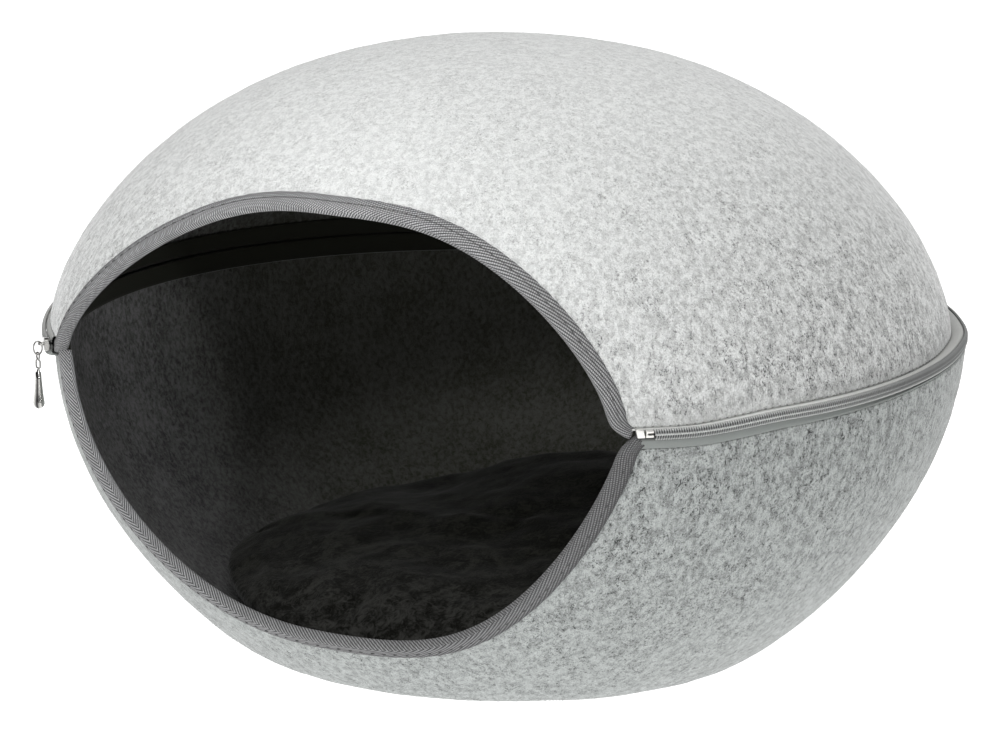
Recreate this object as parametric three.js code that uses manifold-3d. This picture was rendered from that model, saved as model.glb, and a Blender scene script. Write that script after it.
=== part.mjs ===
// Soft pet cave: a moulded felt dome zipped to a moulded felt bowl, with a bound mouth at the front
// and a loose cushion on the floor. Sizes are millimetres and angles are degrees. +Z is up, the mouth
// faces -Y and the origin is on the floor under the middle of the bowl. A turn is measured round +Z
// from the front, towards +X.
import * as THREE from "three";
import { RoundedBoxGeometry } from "three/addons/geometries/RoundedBoxGeometry.js";
import Module from "manifold-3d";

// Felt body, measured on the outer face
const HALF_WIDTH = 293; // at the zip, middle to side
const HALF_DEPTH = 275; // at the zip, middle to back
const ZIP_HEIGHT = 197; // floor to the zip at the corners of the mouth
const DOME_RISE = 180.5; // that level to the crown
const DOME_SHARE = 0.989; // size of the dome's rim as a share of the plan at the zip
const DOME_CURVE = { rise: 1.607, reach: 2.26 }; // exponents of the dome's side view
const BOWL_CURVE = { depth: 1.967, reach: 1.138 }; // exponents of the bowl's side view
const FOOT_SHARE = 0.596; // size of the flat foot as a share of the plan at the zip
const LEAN = { x: 5, y: 3 }; // how far the bowl's rim and the crown sit off the middle of the foot

// Layers and joints
const FELT = 2.6; // outer felt
const LINING = 1.7; // dark inner felt
const GAP = 0.3; // between neighbouring pieces
const WALL = FELT + GAP + LINING;
const DOME_SEAM = 3; // zip line up to the dome's cut edge
const BOWL_SEAM = 8.6; // zip line down to the bowl's cut edge
const HEM = 8; // first row of the mould, measured from the cut edge

// Mouth: its corners, how far its cut edges reach from the zip's level, the exponents of each side's
// arch, and how far past the corner and from the zip line its binding ends
const MOUTH_TURN = { left: 44.5, right: 42.2 };
const MOUTH_UPPER = {
  reach: 113.8,
  left: { along: 2.72, across: 0.875, tuck: 0.4, tuckUp: 0.6 },
  right: { along: 2.8, across: 0.668, tuck: 2.2, tuckUp: 1 },
};
const MOUTH_LOWER = {
  reach: 153.2,
  left: { along: 2.6, across: 0.714, tuck: 1.2, tuckUp: 2.8 },
  right: { along: 3.84, across: 0.89, tuck: 1.2, tuckUp: 3.6 },
};

// How far the zip line runs above its level at the left corner of the mouth
const ZIP_WAVE = [
  { turn: -180, rise: 0 },
  { turn: 0, rise: 0 },
  { turn: MOUTH_TURN.right, rise: 1.8 },
  { turn: 50, rise: 1.4 },
  { turn: 64, rise: 5.2 },
  { turn: 88, rise: 5.6 },
  { turn: 104, rise: 3.2 },
  { turn: 124, rise: 0 },
  { turn: 180, rise: 0 },
];

// Tape folded over the mouth's edge
const BINDING = 1; // thickness of the tape
const BINDING_LEG = 8.2; // width of the tape on each face of the wall
const BINDING_PUFF = 0.5; // how far the tape bulges over the edge
const BINDING_SLACK = 1.5; // how far the inner leg stands off the lining at its free edge
const BINDING_END = 0.45; // share of that width left where an end tucks in at the corner
const BINDING_CROWN = 1.3; // room between the cut edge and the fold
const BINDING_FLANK = 0.917; // fullness of each leg halfway down, as a share of the fold's
const BINDING_ROUND = 0.6; // exponent of the fold: less is squarer
const BINDING_FOLD = [0, 35, 65, 90, 115, 145, 180]; // corners round the fold

// Zip: its lengths are measured round from the corners of the mouth, and `out` from its ring
const ZIP_SHIFT = { x: -2.2, y: -1.3 }; // how far the zip's ring sits off the bowl's rim
// Dips of the zip itself, by its slider and by its pin
const ZIP_SAGS = [
  { turn: -54, spread: 22, depth: 2.6 },
  { turn: 52, spread: 5, depth: 1.2 },
];
const ZIP_TAPE = 1;
const ZIP_TAPE_TUCK = 6; // width of the tape behind the felt
const ZIP_TAPE_ENDS = { right: 13.5, left: 15 };
const COIL_ENDS = { right: 18.6, left: 27.6 };
const COIL_OUTLINE = [
  { out: 2.5, up: GAP },
  { out: 2.5, up: 2.8 },
  { out: 3.4, up: 3.2 },
  { out: 4.7, up: 2.9 },
  { out: 5.3, up: 1.9 },
  { out: 5.2, up: GAP },
];
const FACING = 1; // black tape over the zip's seam, inside
const FACING_WIDTH = 14;
const FACING_EDGE = 0.8; // zip line to its near edge

// Metal fittings
const METAL_SEAT = 2.6; // how far out the fittings sit, clear of the zip tape
const METAL_ROUND = 0.5;
const ZIP_BOX = { along: 4.6, up: 5.8, out: 3.4, at: 10.6 };
const ZIP_PIN = { along: 4.4, up: 3.8, out: 2.9, at: 15.6 };
const SLIDER = { at: 22, half: 5, wide: 4.3, narrow: 3.1, nose: 3.2, shoulder: 2.5, out: 3.6 };
const BRIDGE = { half: 3.2, wall: 1.2, hole: 2.6, bar: 1.1, width: 1.2, corner: 0.9, sunk: 0.4 };
const RING = { width: 5.4, height: 8.6, wire: 1, up: -2.7, out: 10 };
const LINK = { width: 4.8, height: 11.2, wire: 1.2, top: -5, twist: 60 };
const DROP = { length: 25.4, bottom: 3.3, flat: 0.75 };
// Radius of the drop's side above its round end, by share of its length
const DROP_SIDE = [
  { share: 0.4, radius: 2.6 },
  { share: 0.75, radius: 1.7 },
  { share: 0.92, radius: 1.7 },
  { share: 0.95, radius: 0.9 },
  { share: 1, radius: 0.9 },
];

// Cushion: share of its plan and height above the floor, from the middle below to the middle above
const CUSHION_HALF = { x: 193, y: 181 };
const CUSHION_MIDDLE = { x: 4, y: 3 };
const CUSHION_ROWS = [
  { share: 0.8, height: WALL + GAP },
  { share: 0.885, height: 13 },
  { share: 0.965, height: 24 },
  { share: 1, height: 33 },
  { share: 0.965, height: 44 },
  { share: 0.87, height: 54 },
  { share: 0.68, height: 61 },
  { share: 0.45, height: 65 },
  { share: 0.22, height: 67 },
];
const CUSHION_CROWN = 67;
const CUSHION_LUMPS = [
  { x: -35, y: 150, spread: 70, height: 10 },
  { x: 40, y: 90, spread: 75, height: 8 },
  { x: -110, y: -20, spread: 60, height: 5 },
  { x: -95, y: 85, spread: 42, height: -9 },
  { x: 50, y: -60, spread: 48, height: -10 },
];
const CUSHION_SLOPE = { x: 0.12, y: 0.07 }; // rise of its top towards the back and the right
const CUSHION_SEAM_ROW = 3; // lumps and slope show only above this row
const CUSHION_FADE = 8; // exponent of how they fade out towards the edge
const CUSHION_GATHER = { count: 7, depth: 0.012 }; // how its edge is drawn in

// Fineness
const MOUTH_STEPS = 24;
const ZIP_STEPS = 38;
const MOULD_ROWS = 9;
const CUSHION_STEPS = 40;

const wasm = await Module();
wasm.setup();

const { degToRad, radToDeg, lerp } = THREE.MathUtils;
const UP = new THREE.Vector3(0, 0, 1);

// Turn of a place on the zip, from its length round from the right or left corner of the mouth
function turnPast(corner, length) {
  const along = HALF_WIDTH * Math.cos(degToRad(corner));
  const across = HALF_DEPTH * Math.sin(degToRad(corner));
  return corner + radToDeg(length / Math.hypot(along, across));
}

function rightTurn(length) {
  return turnPast(MOUTH_TURN.right, length);
}

function leftTurn(length) {
  return 360 - turnPast(MOUTH_TURN.left, length);
}

// The same turn between -180 and 180
function wrapped(turn) {
  return THREE.MathUtils.euclideanModulo(turn + 180, 360) - 180;
}

// Height of the zip line above its level at the left corner of the mouth
function zipRise(turn) {
  const place = wrapped(turn);
  const next = Math.max(1, ZIP_WAVE.findIndex((row) => row.turn >= place));
  const before = ZIP_WAVE[next - 1];
  const after = ZIP_WAVE[next];
  const share = (place - before.turn) / (after.turn - before.turn);
  return lerp(before.rise, after.rise, share * share * (3 - 2 * share));
}

function planX(turn) {
  return HALF_WIDTH * Math.sin(degToRad(turn));
}

function planY(turn) {
  return -HALF_DEPTH * Math.cos(degToRad(turn));
}

// Outer face of the dome. The climb runs from 0 at the zip's level to 1 at the crown.
function domePoint(turn, climb) {
  const angle = (climb * Math.PI) / 2;
  const rise = Math.sin(angle) ** (2 / DOME_CURVE.rise);
  const reach = DOME_SHARE * Math.max(0, Math.cos(angle)) ** (2 / DOME_CURVE.reach);
  const x = planX(turn) * reach + LEAN.x * rise;
  const y = planY(turn) * reach + LEAN.y * rise;
  return new THREE.Vector3(x, y, ZIP_HEIGHT + DOME_RISE * rise);
}

// Climb of the dome's face at a height above the zip line
function domeClimb(turn, up) {
  const share = (zipRise(turn) + up) / DOME_RISE;
  return Math.asin(share ** (DOME_CURVE.rise / 2)) / (Math.PI / 2);
}

// Outer face of the bowl. The climb runs from 0 at the zip line to 1 at the edge of the foot, and on
// to 2 at the middle of the foot.
function bowlPoint(turn, climb) {
  const angle = (Math.min(climb, 1) * Math.PI) / 2;
  const top = ZIP_HEIGHT + zipRise(turn);
  const depth = top * Math.sin(angle) ** (2 / BOWL_CURVE.depth);
  const side = Math.max(0, Math.cos(angle)) ** (2 / BOWL_CURVE.reach);
  const foot = FOOT_SHARE * (2 - Math.max(1, climb));
  const reach = foot + (1 - FOOT_SHARE) * side;
  const x = planX(turn) * reach + LEAN.x * (1 - depth / top);
  const y = planY(turn) * reach + LEAN.y * (1 - depth / top);
  return new THREE.Vector3(x, y, top - depth);
}

// Climb of the bowl's face at a depth below the zip line
function bowlClimb(turn, down) {
  const share = down / (ZIP_HEIGHT + zipRise(turn));
  return Math.asin(share ** (BOWL_CURVE.depth / 2)) / (Math.PI / 2);
}

// The dome's rows stop one step short of the crown, and the bowl's last row is the edge of the foot
const DOME = {
  point: domePoint,
  climb: domeClimb,
  end: 1,
  rows: MOULD_ROWS - 1,
  lip: MOUTH_UPPER,
  seam: DOME_SEAM,
  side: 1,
};
const BOWL = {
  point: bowlPoint,
  climb: bowlClimb,
  end: 2,
  rows: MOULD_ROWS - 2,
  lip: MOUTH_LOWER,
  seam: BOWL_SEAM,
  side: -1,
};

// Distance of a half's cut edge from the zip line
function edgeUp(half, turn) {
  const place = wrapped(turn);
  const side = place < 0 ? "left" : "right";
  const share = Math.abs(place) / MOUTH_TURN[side];
  if (share >= 1) return half.seam;
  const { along, across } = half.lip[side];
  return half.seam + (half.lip.reach - half.seam) * (1 - share ** along) ** across;
}

// Direction round the basket on a half's face
function roundwards(half, turn, climb) {
  const step = 0.05;
  return half.point(turn + step, climb).sub(half.point(turn - step, climb)).normalize();
}

// Outward direction of a half's face
function faceNormal(half, turn, climb) {
  const step = 0.004;
  const low = half.point(turn, Math.max(0, climb - step));
  const climbing = half.point(turn, climb + step).sub(low);
  return roundwards(half, turn, climb).cross(climbing).multiplyScalar(half.side).normalize();
}

// Turns of the mould's columns: across the mouth, then round the back
function mouldTurns() {
  const turns = [];
  for (let i = 0; i <= MOUTH_STEPS; i++) {
    const share = Math.sin(degToRad(lerp(-90, 90, i / MOUTH_STEPS)));
    turns.push(share * (share < 0 ? MOUTH_TURN.left : MOUTH_TURN.right));
  }
  return turns.concat(zipTurns(ZIP_TAPE_ENDS));
}

// Turns round the zip, between two ends given as lengths from the corners of the mouth
function zipTurns({ right, left }) {
  const turns = [rightTurn(right)];
  for (let i = 1; i < ZIP_STEPS; i++) {
    turns.push(lerp(rightTurn(0), leftTurn(0), i / ZIP_STEPS));
  }
  turns.push(leftTurn(left));
  return turns;
}

// Climbs of one column of the mould: the cut edge, then rows from the hem on, evenly along the felt
function mouldClimbs(half, turn) {
  const edge = half.climb(turn, edgeUp(half, turn));
  const steps = 200;
  const lengths = [0];
  for (let i = 1; i <= steps; i++) {
    const from = half.point(turn, lerp(edge, 1, (i - 1) / steps));
    const to = half.point(turn, lerp(edge, 1, i / steps));
    lengths.push(lengths[i - 1] + from.distanceTo(to));
  }
  const climbAt = (length) => {
    const next = Math.max(1, lengths.findIndex((value) => value >= length - 1e-9));
    const share = (length - lengths[next - 1]) / (lengths[next] - lengths[next - 1]);
    return lerp(edge, 1, (next - 1 + share) / steps);
  };
  const climbs = [edge];
  for (let i = 0; i < MOULD_ROWS - 1; i++) {
    climbs.push(climbAt(lerp(HEM, lengths[steps], i / half.rows)));
  }
  return climbs;
}

// The face that a half is moulded on: rings of points with their outward directions, and the last
// point in the middle
function mouldOf(half) {
  const turns = mouldTurns();
  const columns = turns.map((turn) => mouldClimbs(half, turn).map((climb) => half.point(turn, climb)));
  const last = half.point(0, half.end);
  const rings = [];
  const normals = [];
  for (let row = 0; row < MOULD_ROWS; row++) {
    rings.push(columns.map((column) => column[row]));
    normals.push(
      columns.map((column, i) => {
        const here = column[row];
        const onward = (column[row + 1] ?? last).clone().sub(here).normalize();
        if (row > 0) onward.add(here.clone().sub(column[row - 1]).normalize());
        const climb = mouldClimbs(half, turns[i])[row];
        return roundwards(half, turns[i], climb).cross(onward).multiplyScalar(half.side).normalize();
      }),
    );
  }
  return { turns, rings, normals, last, lastNormal: UP.clone().multiplyScalar(half.side) };
}

// Solid from points and triangles, with its faces turned outwards
function solid(points, triangles) {
  let volume = 0;
  for (const [a, b, c] of triangles) {
    volume += points[a].dot(points[b].clone().cross(points[c]));
  }
  const facing = volume > 0 ? triangles : triangles.map(([a, b, c]) => [a, c, b]);
  const geometry = new THREE.BufferGeometry();
  const numbers = points.flatMap((point) => point.toArray());
  geometry.setAttribute("position", new THREE.Float32BufferAttribute(numbers, 3));
  geometry.setIndex(facing.flat());
  geometry.computeVertexNormals();
  return geometry;
}

// Triangles between two closed rings of the same count, each square split along one diagonal
function band(first, second, count, turned = () => false) {
  const triangles = [];
  for (let i = 0; i < count; i++) {
    const j = (i + 1) % count;
    if (turned(i, j)) {
      triangles.push([first + i, first + j, second + i], [first + j, second + j, second + i]);
    } else {
      triangles.push([first + i, first + j, second + j], [first + i, second + j, second + i]);
    }
  }
  return triangles;
}

// Triangles from a closed ring to one point
function fan(first, tip, count) {
  const triangles = [];
  for (let i = 0; i < count; i++) triangles.push([first + i, first + ((i + 1) % count), tip]);
  return triangles;
}

// One layer of felt between two depths under the mould's face
function layer(mould, outer, inner) {
  const count = mould.turns.length;
  const points = [];
  const triangles = [];
  const starts = [];
  for (const depth of [outer, inner]) {
    const start = points.length;
    starts.push(start);
    mould.rings.forEach((ring, row) => {
      ring.forEach((point, i) => {
        points.push(point.clone().addScaledVector(mould.normals[row][i], -depth));
      });
    });
    points.push(mould.last.clone().addScaledVector(mould.lastNormal, -depth));
    const face = [];
    for (let row = 0; row < MOULD_ROWS - 1; row++) {
      const ring = mould.rings[row];
      const next = mould.rings[row + 1];
      const shorter = (i, j) => ring[j].distanceTo(next[i]) < ring[i].distanceTo(next[j]);
      face.push(...band(start + row * count, start + (row + 1) * count, count, shorter));
    }
    face.push(...fan(start + (MOULD_ROWS - 1) * count, points.length - 1, count));
    triangles.push(...(depth === outer ? face : face.map(([a, b, c]) => [a, c, b])));
  }
  triangles.push(...band(starts[1], starts[0], count));
  return solid(points, triangles);
}

// Solid swept through sections that share one outline, with a flat cap at each end
function sweep(sections, outline) {
  const count = outline.length;
  const points = sections.flat();
  const triangles = [];
  for (let i = 0; i < sections.length - 1; i++) {
    triangles.push(...band(i * count, (i + 1) * count, count));
  }
  const end = (sections.length - 1) * count;
  const clockwise = THREE.ShapeUtils.isClockWise(outline);
  for (const [a, b, c] of THREE.ShapeUtils.triangulateShape(outline, [])) {
    const start = clockwise ? [a, b, c] : [a, c, b];
    triangles.push(start, [end + start[0], end + start[2], end + start[1]]);
  }
  return solid(points, triangles);
}

// Outline of a strip that follows a line of { out, up } points
function strip(line, thickness) {
  const middle = line.map(({ out, up }) => new THREE.Vector2(out, up));
  const sides = middle.map((point, i) => {
    const before = middle[Math.max(0, i - 1)];
    const after = middle[Math.min(middle.length - 1, i + 1)];
    const along = after.clone().sub(before).normalize();
    return new THREE.Vector2(-along.y, along.x).multiplyScalar(thickness / 2);
  });
  const left = middle.map((point, i) => point.clone().add(sides[i]));
  const right = middle.map((point, i) => point.clone().sub(sides[i]));
  return left.concat(right.reverse());
}

// Point at a distance from the zip line, up the dome or down the bowl, and out from the felt's face
function feltPoint(half, turn, { up, out }) {
  const climb = half.climb(turn, up);
  return half.point(turn, climb).addScaledVector(faceNormal(half, turn, climb), out);
}

// Middle of the zip's ring at a turn
function zipLine(turn) {
  const shift = new THREE.Vector3(ZIP_SHIFT.x, ZIP_SHIFT.y, 0);
  for (const sag of ZIP_SAGS) {
    const away = (wrapped(turn) - sag.turn) / sag.spread;
    shift.z -= sag.depth * Math.exp(-away * away);
  }
  return bowlPoint(turn, 0).add(shift);
}

// Point at a distance straight up or down from the zip line, and out from the zip's ring
function zipPoint(half, turn, { up, out }) {
  const outward = roundwards(BOWL, turn, 0).cross(UP);
  return zipLine(turn).addScaledVector(UP, half.side * up).addScaledVector(outward, out);
}

// Line of a half's zip tape: sewn behind the felt, out under its cut edge and on to the coil
function zipTapeLine(half) {
  const behind = -WALL - GAP - ZIP_TAPE / 2;
  const front = METAL_SEAT - ZIP_TAPE;
  return [
    { on: feltPoint, out: behind, up: half.seam + ZIP_TAPE_TUCK },
    { on: feltPoint, out: behind, up: half.seam - ZIP_TAPE },
    { on: feltPoint, out: -FELT / 2, up: half.seam - 1.6 * ZIP_TAPE },
    { on: zipPoint, out: front, up: half.seam / 2 },
    { on: zipPoint, out: front, up: GAP },
  ];
}

// Line of the black tape that covers a half's zip seam inside
function facingLine() {
  const out = -WALL - ZIP_TAPE - 2 * GAP - FACING / 2;
  return [
    { on: feltPoint, out, up: FACING_WIDTH },
    { on: feltPoint, out, up: FACING_WIDTH / 2 },
    { on: feltPoint, out, up: FACING_EDGE },
  ];
}

// Strip that follows a line of { on, out, up } points round the zip
function zipStrip(half, ends, line, thickness) {
  const outline = strip(line, thickness);
  const on = line.concat(line.toReversed()).map((corner) => corner.on);
  const sections = zipTurns(ends).map((turn) =>
    outline.map(({ x, y }, i) => on[i](half, turn, { out: x, up: y })),
  );
  return sweep(sections, outline);
}

// One row of the zip's coil
function zipCoil(half) {
  const sections = zipTurns(COIL_ENDS).map((turn) =>
    COIL_OUTLINE.map((corner) => zipPoint(half, turn, corner)),
  );
  return sweep(sections, COIL_OUTLINE.map(({ out, up }) => new THREE.Vector2(out, up)));
}

// Section of the folded tape: x is out from the felt's face and y is past the cut edge
function bindingOutline() {
  const outer = GAP;
  const inner = -WALL - GAP;
  const middle = (outer + inner) / 2;
  const half = (outer - inner) / 2 + BINDING + BINDING_PUFF;
  const crown = GAP + BINDING + BINDING_CROWN;
  const corners = [
    [outer, -BINDING_LEG],
    [outer + BINDING, -BINDING_LEG],
    [middle + half * BINDING_FLANK, -BINDING_LEG / 2],
  ];
  for (const angle of BINDING_FOLD) {
    const across = Math.cos(degToRad(angle));
    const out = half * Math.sign(across) * Math.abs(across) ** BINDING_ROUND;
    corners.push([middle + out, crown * Math.sin(degToRad(angle))]);
  }
  corners.push([middle - half * BINDING_FLANK, -BINDING_LEG / 2]);
  corners.push([inner - BINDING - BINDING_SLACK, -BINDING_LEG]);
  corners.push([inner - BINDING_SLACK, -BINDING_LEG]);
  corners.push([inner, GAP]);
  corners.push([outer, GAP]);
  return corners.map(([x, y]) => new THREE.Vector2(x, y));
}

// Station where a binding tucks in past a corner of the mouth
function tuckedEnd(half, { tuckUp }, turn) {
  const point = feltPoint(half, turn, { up: tuckUp, out: 0 });
  const normal = faceNormal(half, turn, half.climb(turn, tuckUp));
  return { point, normal, leg: BINDING_END };
}

// Tape folded over the mouth's edge of one half, from corner to corner
function binding(half, mould) {
  const stations = [];
  for (let i = 0; i <= MOUTH_STEPS; i++) {
    stations.push({ point: mould.rings[0][i], normal: mould.normals[0][i], leg: 1 });
  }
  stations.unshift(tuckedEnd(half, half.lip.left, -MOUTH_TURN.left - half.lip.left.tuck));
  stations.push(tuckedEnd(half, half.lip.right, MOUTH_TURN.right + half.lip.right.tuck));
  const outline = bindingOutline();
  const sections = stations.map(({ point, normal, leg }, i) => {
    const along = new THREE.Vector3();
    if (i > 0) along.add(point.clone().sub(stations[i - 1].point).normalize());
    if (i < stations.length - 1) along.add(stations[i + 1].point.clone().sub(point).normalize());
    along.normalize();
    const past = along.clone().cross(normal).multiplyScalar(half.side).normalize();
    return outline.map(({ x, y }) =>
      point
        .clone()
        .addScaledVector(normal, x)
        .addScaledVector(past, y < 0 ? y * leg : y),
    );
  });
  return sweep(sections, outline);
}

// Places a fitting made with X along the zip, Y up and Z out from the felt's face
function onZip(geometry, turn) {
  const along = roundwards(BOWL, turn, 0);
  const out = along.clone().cross(UP);
  const frame = new THREE.Matrix4().makeBasis(along, UP, out).setPosition(zipLine(turn));
  return geometry.applyMatrix4(frame);
}

// Metal box or pin on the zip's right-hand end
function zipBlock({ along, up, out, at }) {
  const block = new RoundedBoxGeometry(along, up, out, 1, METAL_ROUND);
  block.translate(0, 0, METAL_SEAT + out / 2);
  return onZip(block, rightTurn(at));
}

// Closed solid for joining
function manifoldOf(geometry) {
  const places = geometry.getAttribute("position");
  const corners = new Map();
  const vertices = [];
  const faces = [];
  for (let i = 0; i < places.count; i++) {
    const place = [places.getX(i), places.getY(i), places.getZ(i)];
    const key = place.map((value) => value.toFixed(4)).join(" ");
    if (!corners.has(key)) {
      corners.set(key, corners.size);
      vertices.push(...place);
    }
    faces.push(corners.get(key));
  }
  const vertProperties = new Float32Array(vertices);
  const triVerts = new Uint32Array(faces);
  return new wasm.Manifold(new wasm.Mesh({ numProp: 3, vertProperties, triVerts }));
}

// Geometry of a joined solid
function geometryOf(manifold) {
  const mesh = manifold.getMesh();
  const geometry = new THREE.BufferGeometry();
  geometry.setAttribute("position", new THREE.BufferAttribute(mesh.vertProperties, 3));
  geometry.setIndex(new THREE.BufferAttribute(mesh.triVerts, 1));
  geometry.computeVertexNormals();
  return geometry;
}

// Shape with straight sides through [x, y] corners
function polygon(corners) {
  return new THREE.Shape(corners.map(([x, y]) => new THREE.Vector2(x, y)));
}

// Slider: a wedge-shaped body with a bridge for the ring
function zipSlider() {
  const { half, wide, narrow, nose, shoulder, out } = SLIDER;
  const shape = polygon([
    [-half, -narrow],
    [shoulder, -wide],
    [half, -nose],
    [half, nose],
    [shoulder, wide],
    [-half, narrow],
  ]);
  const body = new THREE.ExtrudeGeometry(shape, { depth: out, bevelEnabled: false });
  body.translate(0, 0, METAL_SEAT);
  const foot = METAL_SEAT + out;
  const top = foot + BRIDGE.hole + BRIDGE.bar;
  const arch = polygon([
    [-BRIDGE.half, foot - BRIDGE.sunk],
    [BRIDGE.half, foot - BRIDGE.sunk],
    [BRIDGE.half, top - BRIDGE.corner],
    [BRIDGE.half - BRIDGE.corner, top],
    [-BRIDGE.half + BRIDGE.corner, top],
    [-BRIDGE.half, top - BRIDGE.corner],
  ]);
  const span = BRIDGE.half - BRIDGE.wall;
  const hole = polygon([
    [-span, foot - BRIDGE.sunk / 2],
    [span, foot - BRIDGE.sunk / 2],
    [span, top - BRIDGE.bar],
    [-span, top - BRIDGE.bar],
  ]);
  arch.holes.push(hole);
  const bridge = new THREE.ExtrudeGeometry(arch, { depth: BRIDGE.width, bevelEnabled: false });
  bridge.rotateX(Math.PI / 2).translate(0, BRIDGE.width / 2, 0);
  const joined = manifoldOf(body).add(manifoldOf(bridge));
  return onZip(geometryOf(joined), leftTurn(SLIDER.at));
}

// Oval ring that hangs in the bridge
function pullRing() {
  const ring = new THREE.TorusGeometry(RING.height / 2, RING.wire / 2, 8, 20);
  ring.scale(RING.width / RING.height, 1, 1);
  ring.rotateY(Math.PI / 2).translate(0, RING.up, RING.out);
  return onZip(ring, leftTurn(SLIDER.at));
}

// Half-round ended slot
function slot(width, height) {
  const radius = width / 2;
  const straight = height / 2 - radius;
  const shape = new THREE.Shape();
  shape.absarc(0, straight, radius, 0, Math.PI);
  shape.absarc(0, -straight, radius, Math.PI, 2 * Math.PI);
  return shape;
}

// Link that hangs from the ring
function pullLink() {
  const shape = slot(LINK.width, LINK.height);
  shape.holes.push(slot(LINK.width - 2 * LINK.wire, LINK.height - 2 * LINK.wire));
  const settings = { depth: LINK.wire, bevelEnabled: false, curveSegments: 6 };
  const link = new THREE.ExtrudeGeometry(shape, settings);
  link.translate(0, 0, -LINK.wire / 2).rotateY(degToRad(90 - LINK.twist));
  link.translate(0, LINK.top - LINK.height / 2, RING.out);
  return onZip(link, leftTurn(SLIDER.at));
}

// Drop-shaped pull under the link
function pullDrop() {
  const { length, bottom } = DROP;
  const profile = [[0, 0]];
  for (const angle of [25, 50, 75]) {
    profile.push([bottom * Math.sin(degToRad(angle)), bottom * (1 - Math.cos(degToRad(angle)))]);
  }
  profile.push([bottom, bottom]);
  for (const { share, radius } of DROP_SIDE) profile.push([radius, share * length]);
  profile.push([0, length]);
  const drop = new THREE.LatheGeometry(profile.map(([x, y]) => new THREE.Vector2(x, y)), 16);
  drop.scale(1, 1, DROP.flat).rotateY(degToRad(90 - LINK.twist));
  drop.translate(0, LINK.top - LINK.height - GAP - length, RING.out);
  return onZip(drop, leftTurn(SLIDER.at));
}

// Height that the slope and the lumps of the filling add at a place
function cushionLump(x, y) {
  let height = CUSHION_SLOPE.x * x + CUSHION_SLOPE.y * y;
  for (const lump of CUSHION_LUMPS) {
    const away = Math.hypot(x - lump.x, y - lump.y) / lump.spread;
    height += lump.height * Math.exp(-away * away);
  }
  return height;
}

// Filled cushion with a drawn-in edge
function cushion() {
  const points = [];
  CUSHION_ROWS.forEach(({ share, height }, row) => {
    for (let i = 0; i < CUSHION_STEPS; i++) {
      const turn = degToRad((360 * i) / CUSHION_STEPS);
      const drawn = 1 - CUSHION_GATHER.depth * (1 + Math.cos(CUSHION_GATHER.count * turn));
      const x = CUSHION_MIDDLE.x + CUSHION_HALF.x * share * drawn * Math.sin(turn);
      const y = CUSHION_MIDDLE.y - CUSHION_HALF.y * share * drawn * Math.cos(turn);
      const fullness = row > CUSHION_SEAM_ROW ? 1 - share ** CUSHION_FADE : 0;
      points.push(new THREE.Vector3(x, y, height + fullness * cushionLump(x, y)));
    }
  });
  const { x, y } = CUSHION_MIDDLE;
  const below = points.push(new THREE.Vector3(x, y, CUSHION_ROWS[0].height)) - 1;
  const above = points.push(new THREE.Vector3(x, y, CUSHION_CROWN + cushionLump(x, y))) - 1;
  const triangles = fan(0, below, CUSHION_STEPS).map(([a, b, c]) => [a, c, b]);
  for (let row = 0; row < CUSHION_ROWS.length - 1; row++) {
    triangles.push(...band(row * CUSHION_STEPS, (row + 1) * CUSHION_STEPS, CUSHION_STEPS));
  }
  triangles.push(...fan((CUSHION_ROWS.length - 1) * CUSHION_STEPS, above, CUSHION_STEPS));
  return solid(points, triangles);
}

const COLOURS = {
  felt: 0xc4c6c3,
  lining: 0x2b2c2c,
  twill: 0x808284,
  zipTape: 0xb4b7b1,
  coil: 0x8d908e,
  facing: 0x141414,
  metal: 0xd8d8d8,
  fleece: 0x1d1e1c,
};

const basket = new THREE.Group();
basket.name = "pet_cave";

function add(name, geometry, colour, metalness) {
  const roughness = metalness ? 0.2 : 0.95;
  const material = new THREE.MeshStandardMaterial({ color: colour, roughness, metalness });
  const mesh = new THREE.Mesh(geometry, material);
  mesh.name = name;
  basket.add(mesh);
}

const domeMould = mouldOf(DOME);
const bowlMould = mouldOf(BOWL);
add("felt_dome", layer(domeMould, 0, FELT), COLOURS.felt, 0);
add("felt_bowl", layer(bowlMould, 0, FELT), COLOURS.felt, 0);
add("dome_lining", layer(domeMould, FELT + GAP, WALL), COLOURS.lining, 0);
add("bowl_lining", layer(bowlMould, FELT + GAP, WALL), COLOURS.lining, 0);
add("binding_upper", binding(DOME, domeMould), COLOURS.twill, 0);
add("binding_lower", binding(BOWL, bowlMould), COLOURS.twill, 0);

const zipTape = (half) => zipStrip(half, ZIP_TAPE_ENDS, zipTapeLine(half), ZIP_TAPE);
const facing = (half) => zipStrip(half, ZIP_TAPE_ENDS, facingLine(), FACING);
add("zip_tape_upper", zipTape(DOME), COLOURS.zipTape, 0);
add("zip_tape_lower", zipTape(BOWL), COLOURS.zipTape, 0);
add("zip_coil_upper", zipCoil(DOME), COLOURS.coil, 0);
add("zip_coil_lower", zipCoil(BOWL), COLOURS.coil, 0);
add("facing_upper", facing(DOME), COLOURS.facing, 0);
add("facing_lower", facing(BOWL), COLOURS.facing, 0);

add("zip_box", zipBlock(ZIP_BOX), COLOURS.metal, 1);
add("zip_pin", zipBlock(ZIP_PIN), COLOURS.metal, 1);
add("zip_slider", zipSlider(), COLOURS.metal, 1);
add("pull_ring", pullRing(), COLOURS.metal, 1);
add("pull_link", pullLink(), COLOURS.metal, 1);
add("pull_drop", pullDrop(), COLOURS.metal, 1);
add("cushion", cushion(), COLOURS.fleece, 0);

export default basket;
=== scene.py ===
"""Looks of a soft pet cave: a moulded felt dome zipped to a moulded felt bowl, with a taped mouth and a
loose fleece cushion. Sizes in this script are millimetres unless a name ends in _M, and angles are
degrees. A turn is measured round +Z from the front of the basket, towards +X."""

from collections import namedtuple

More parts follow.
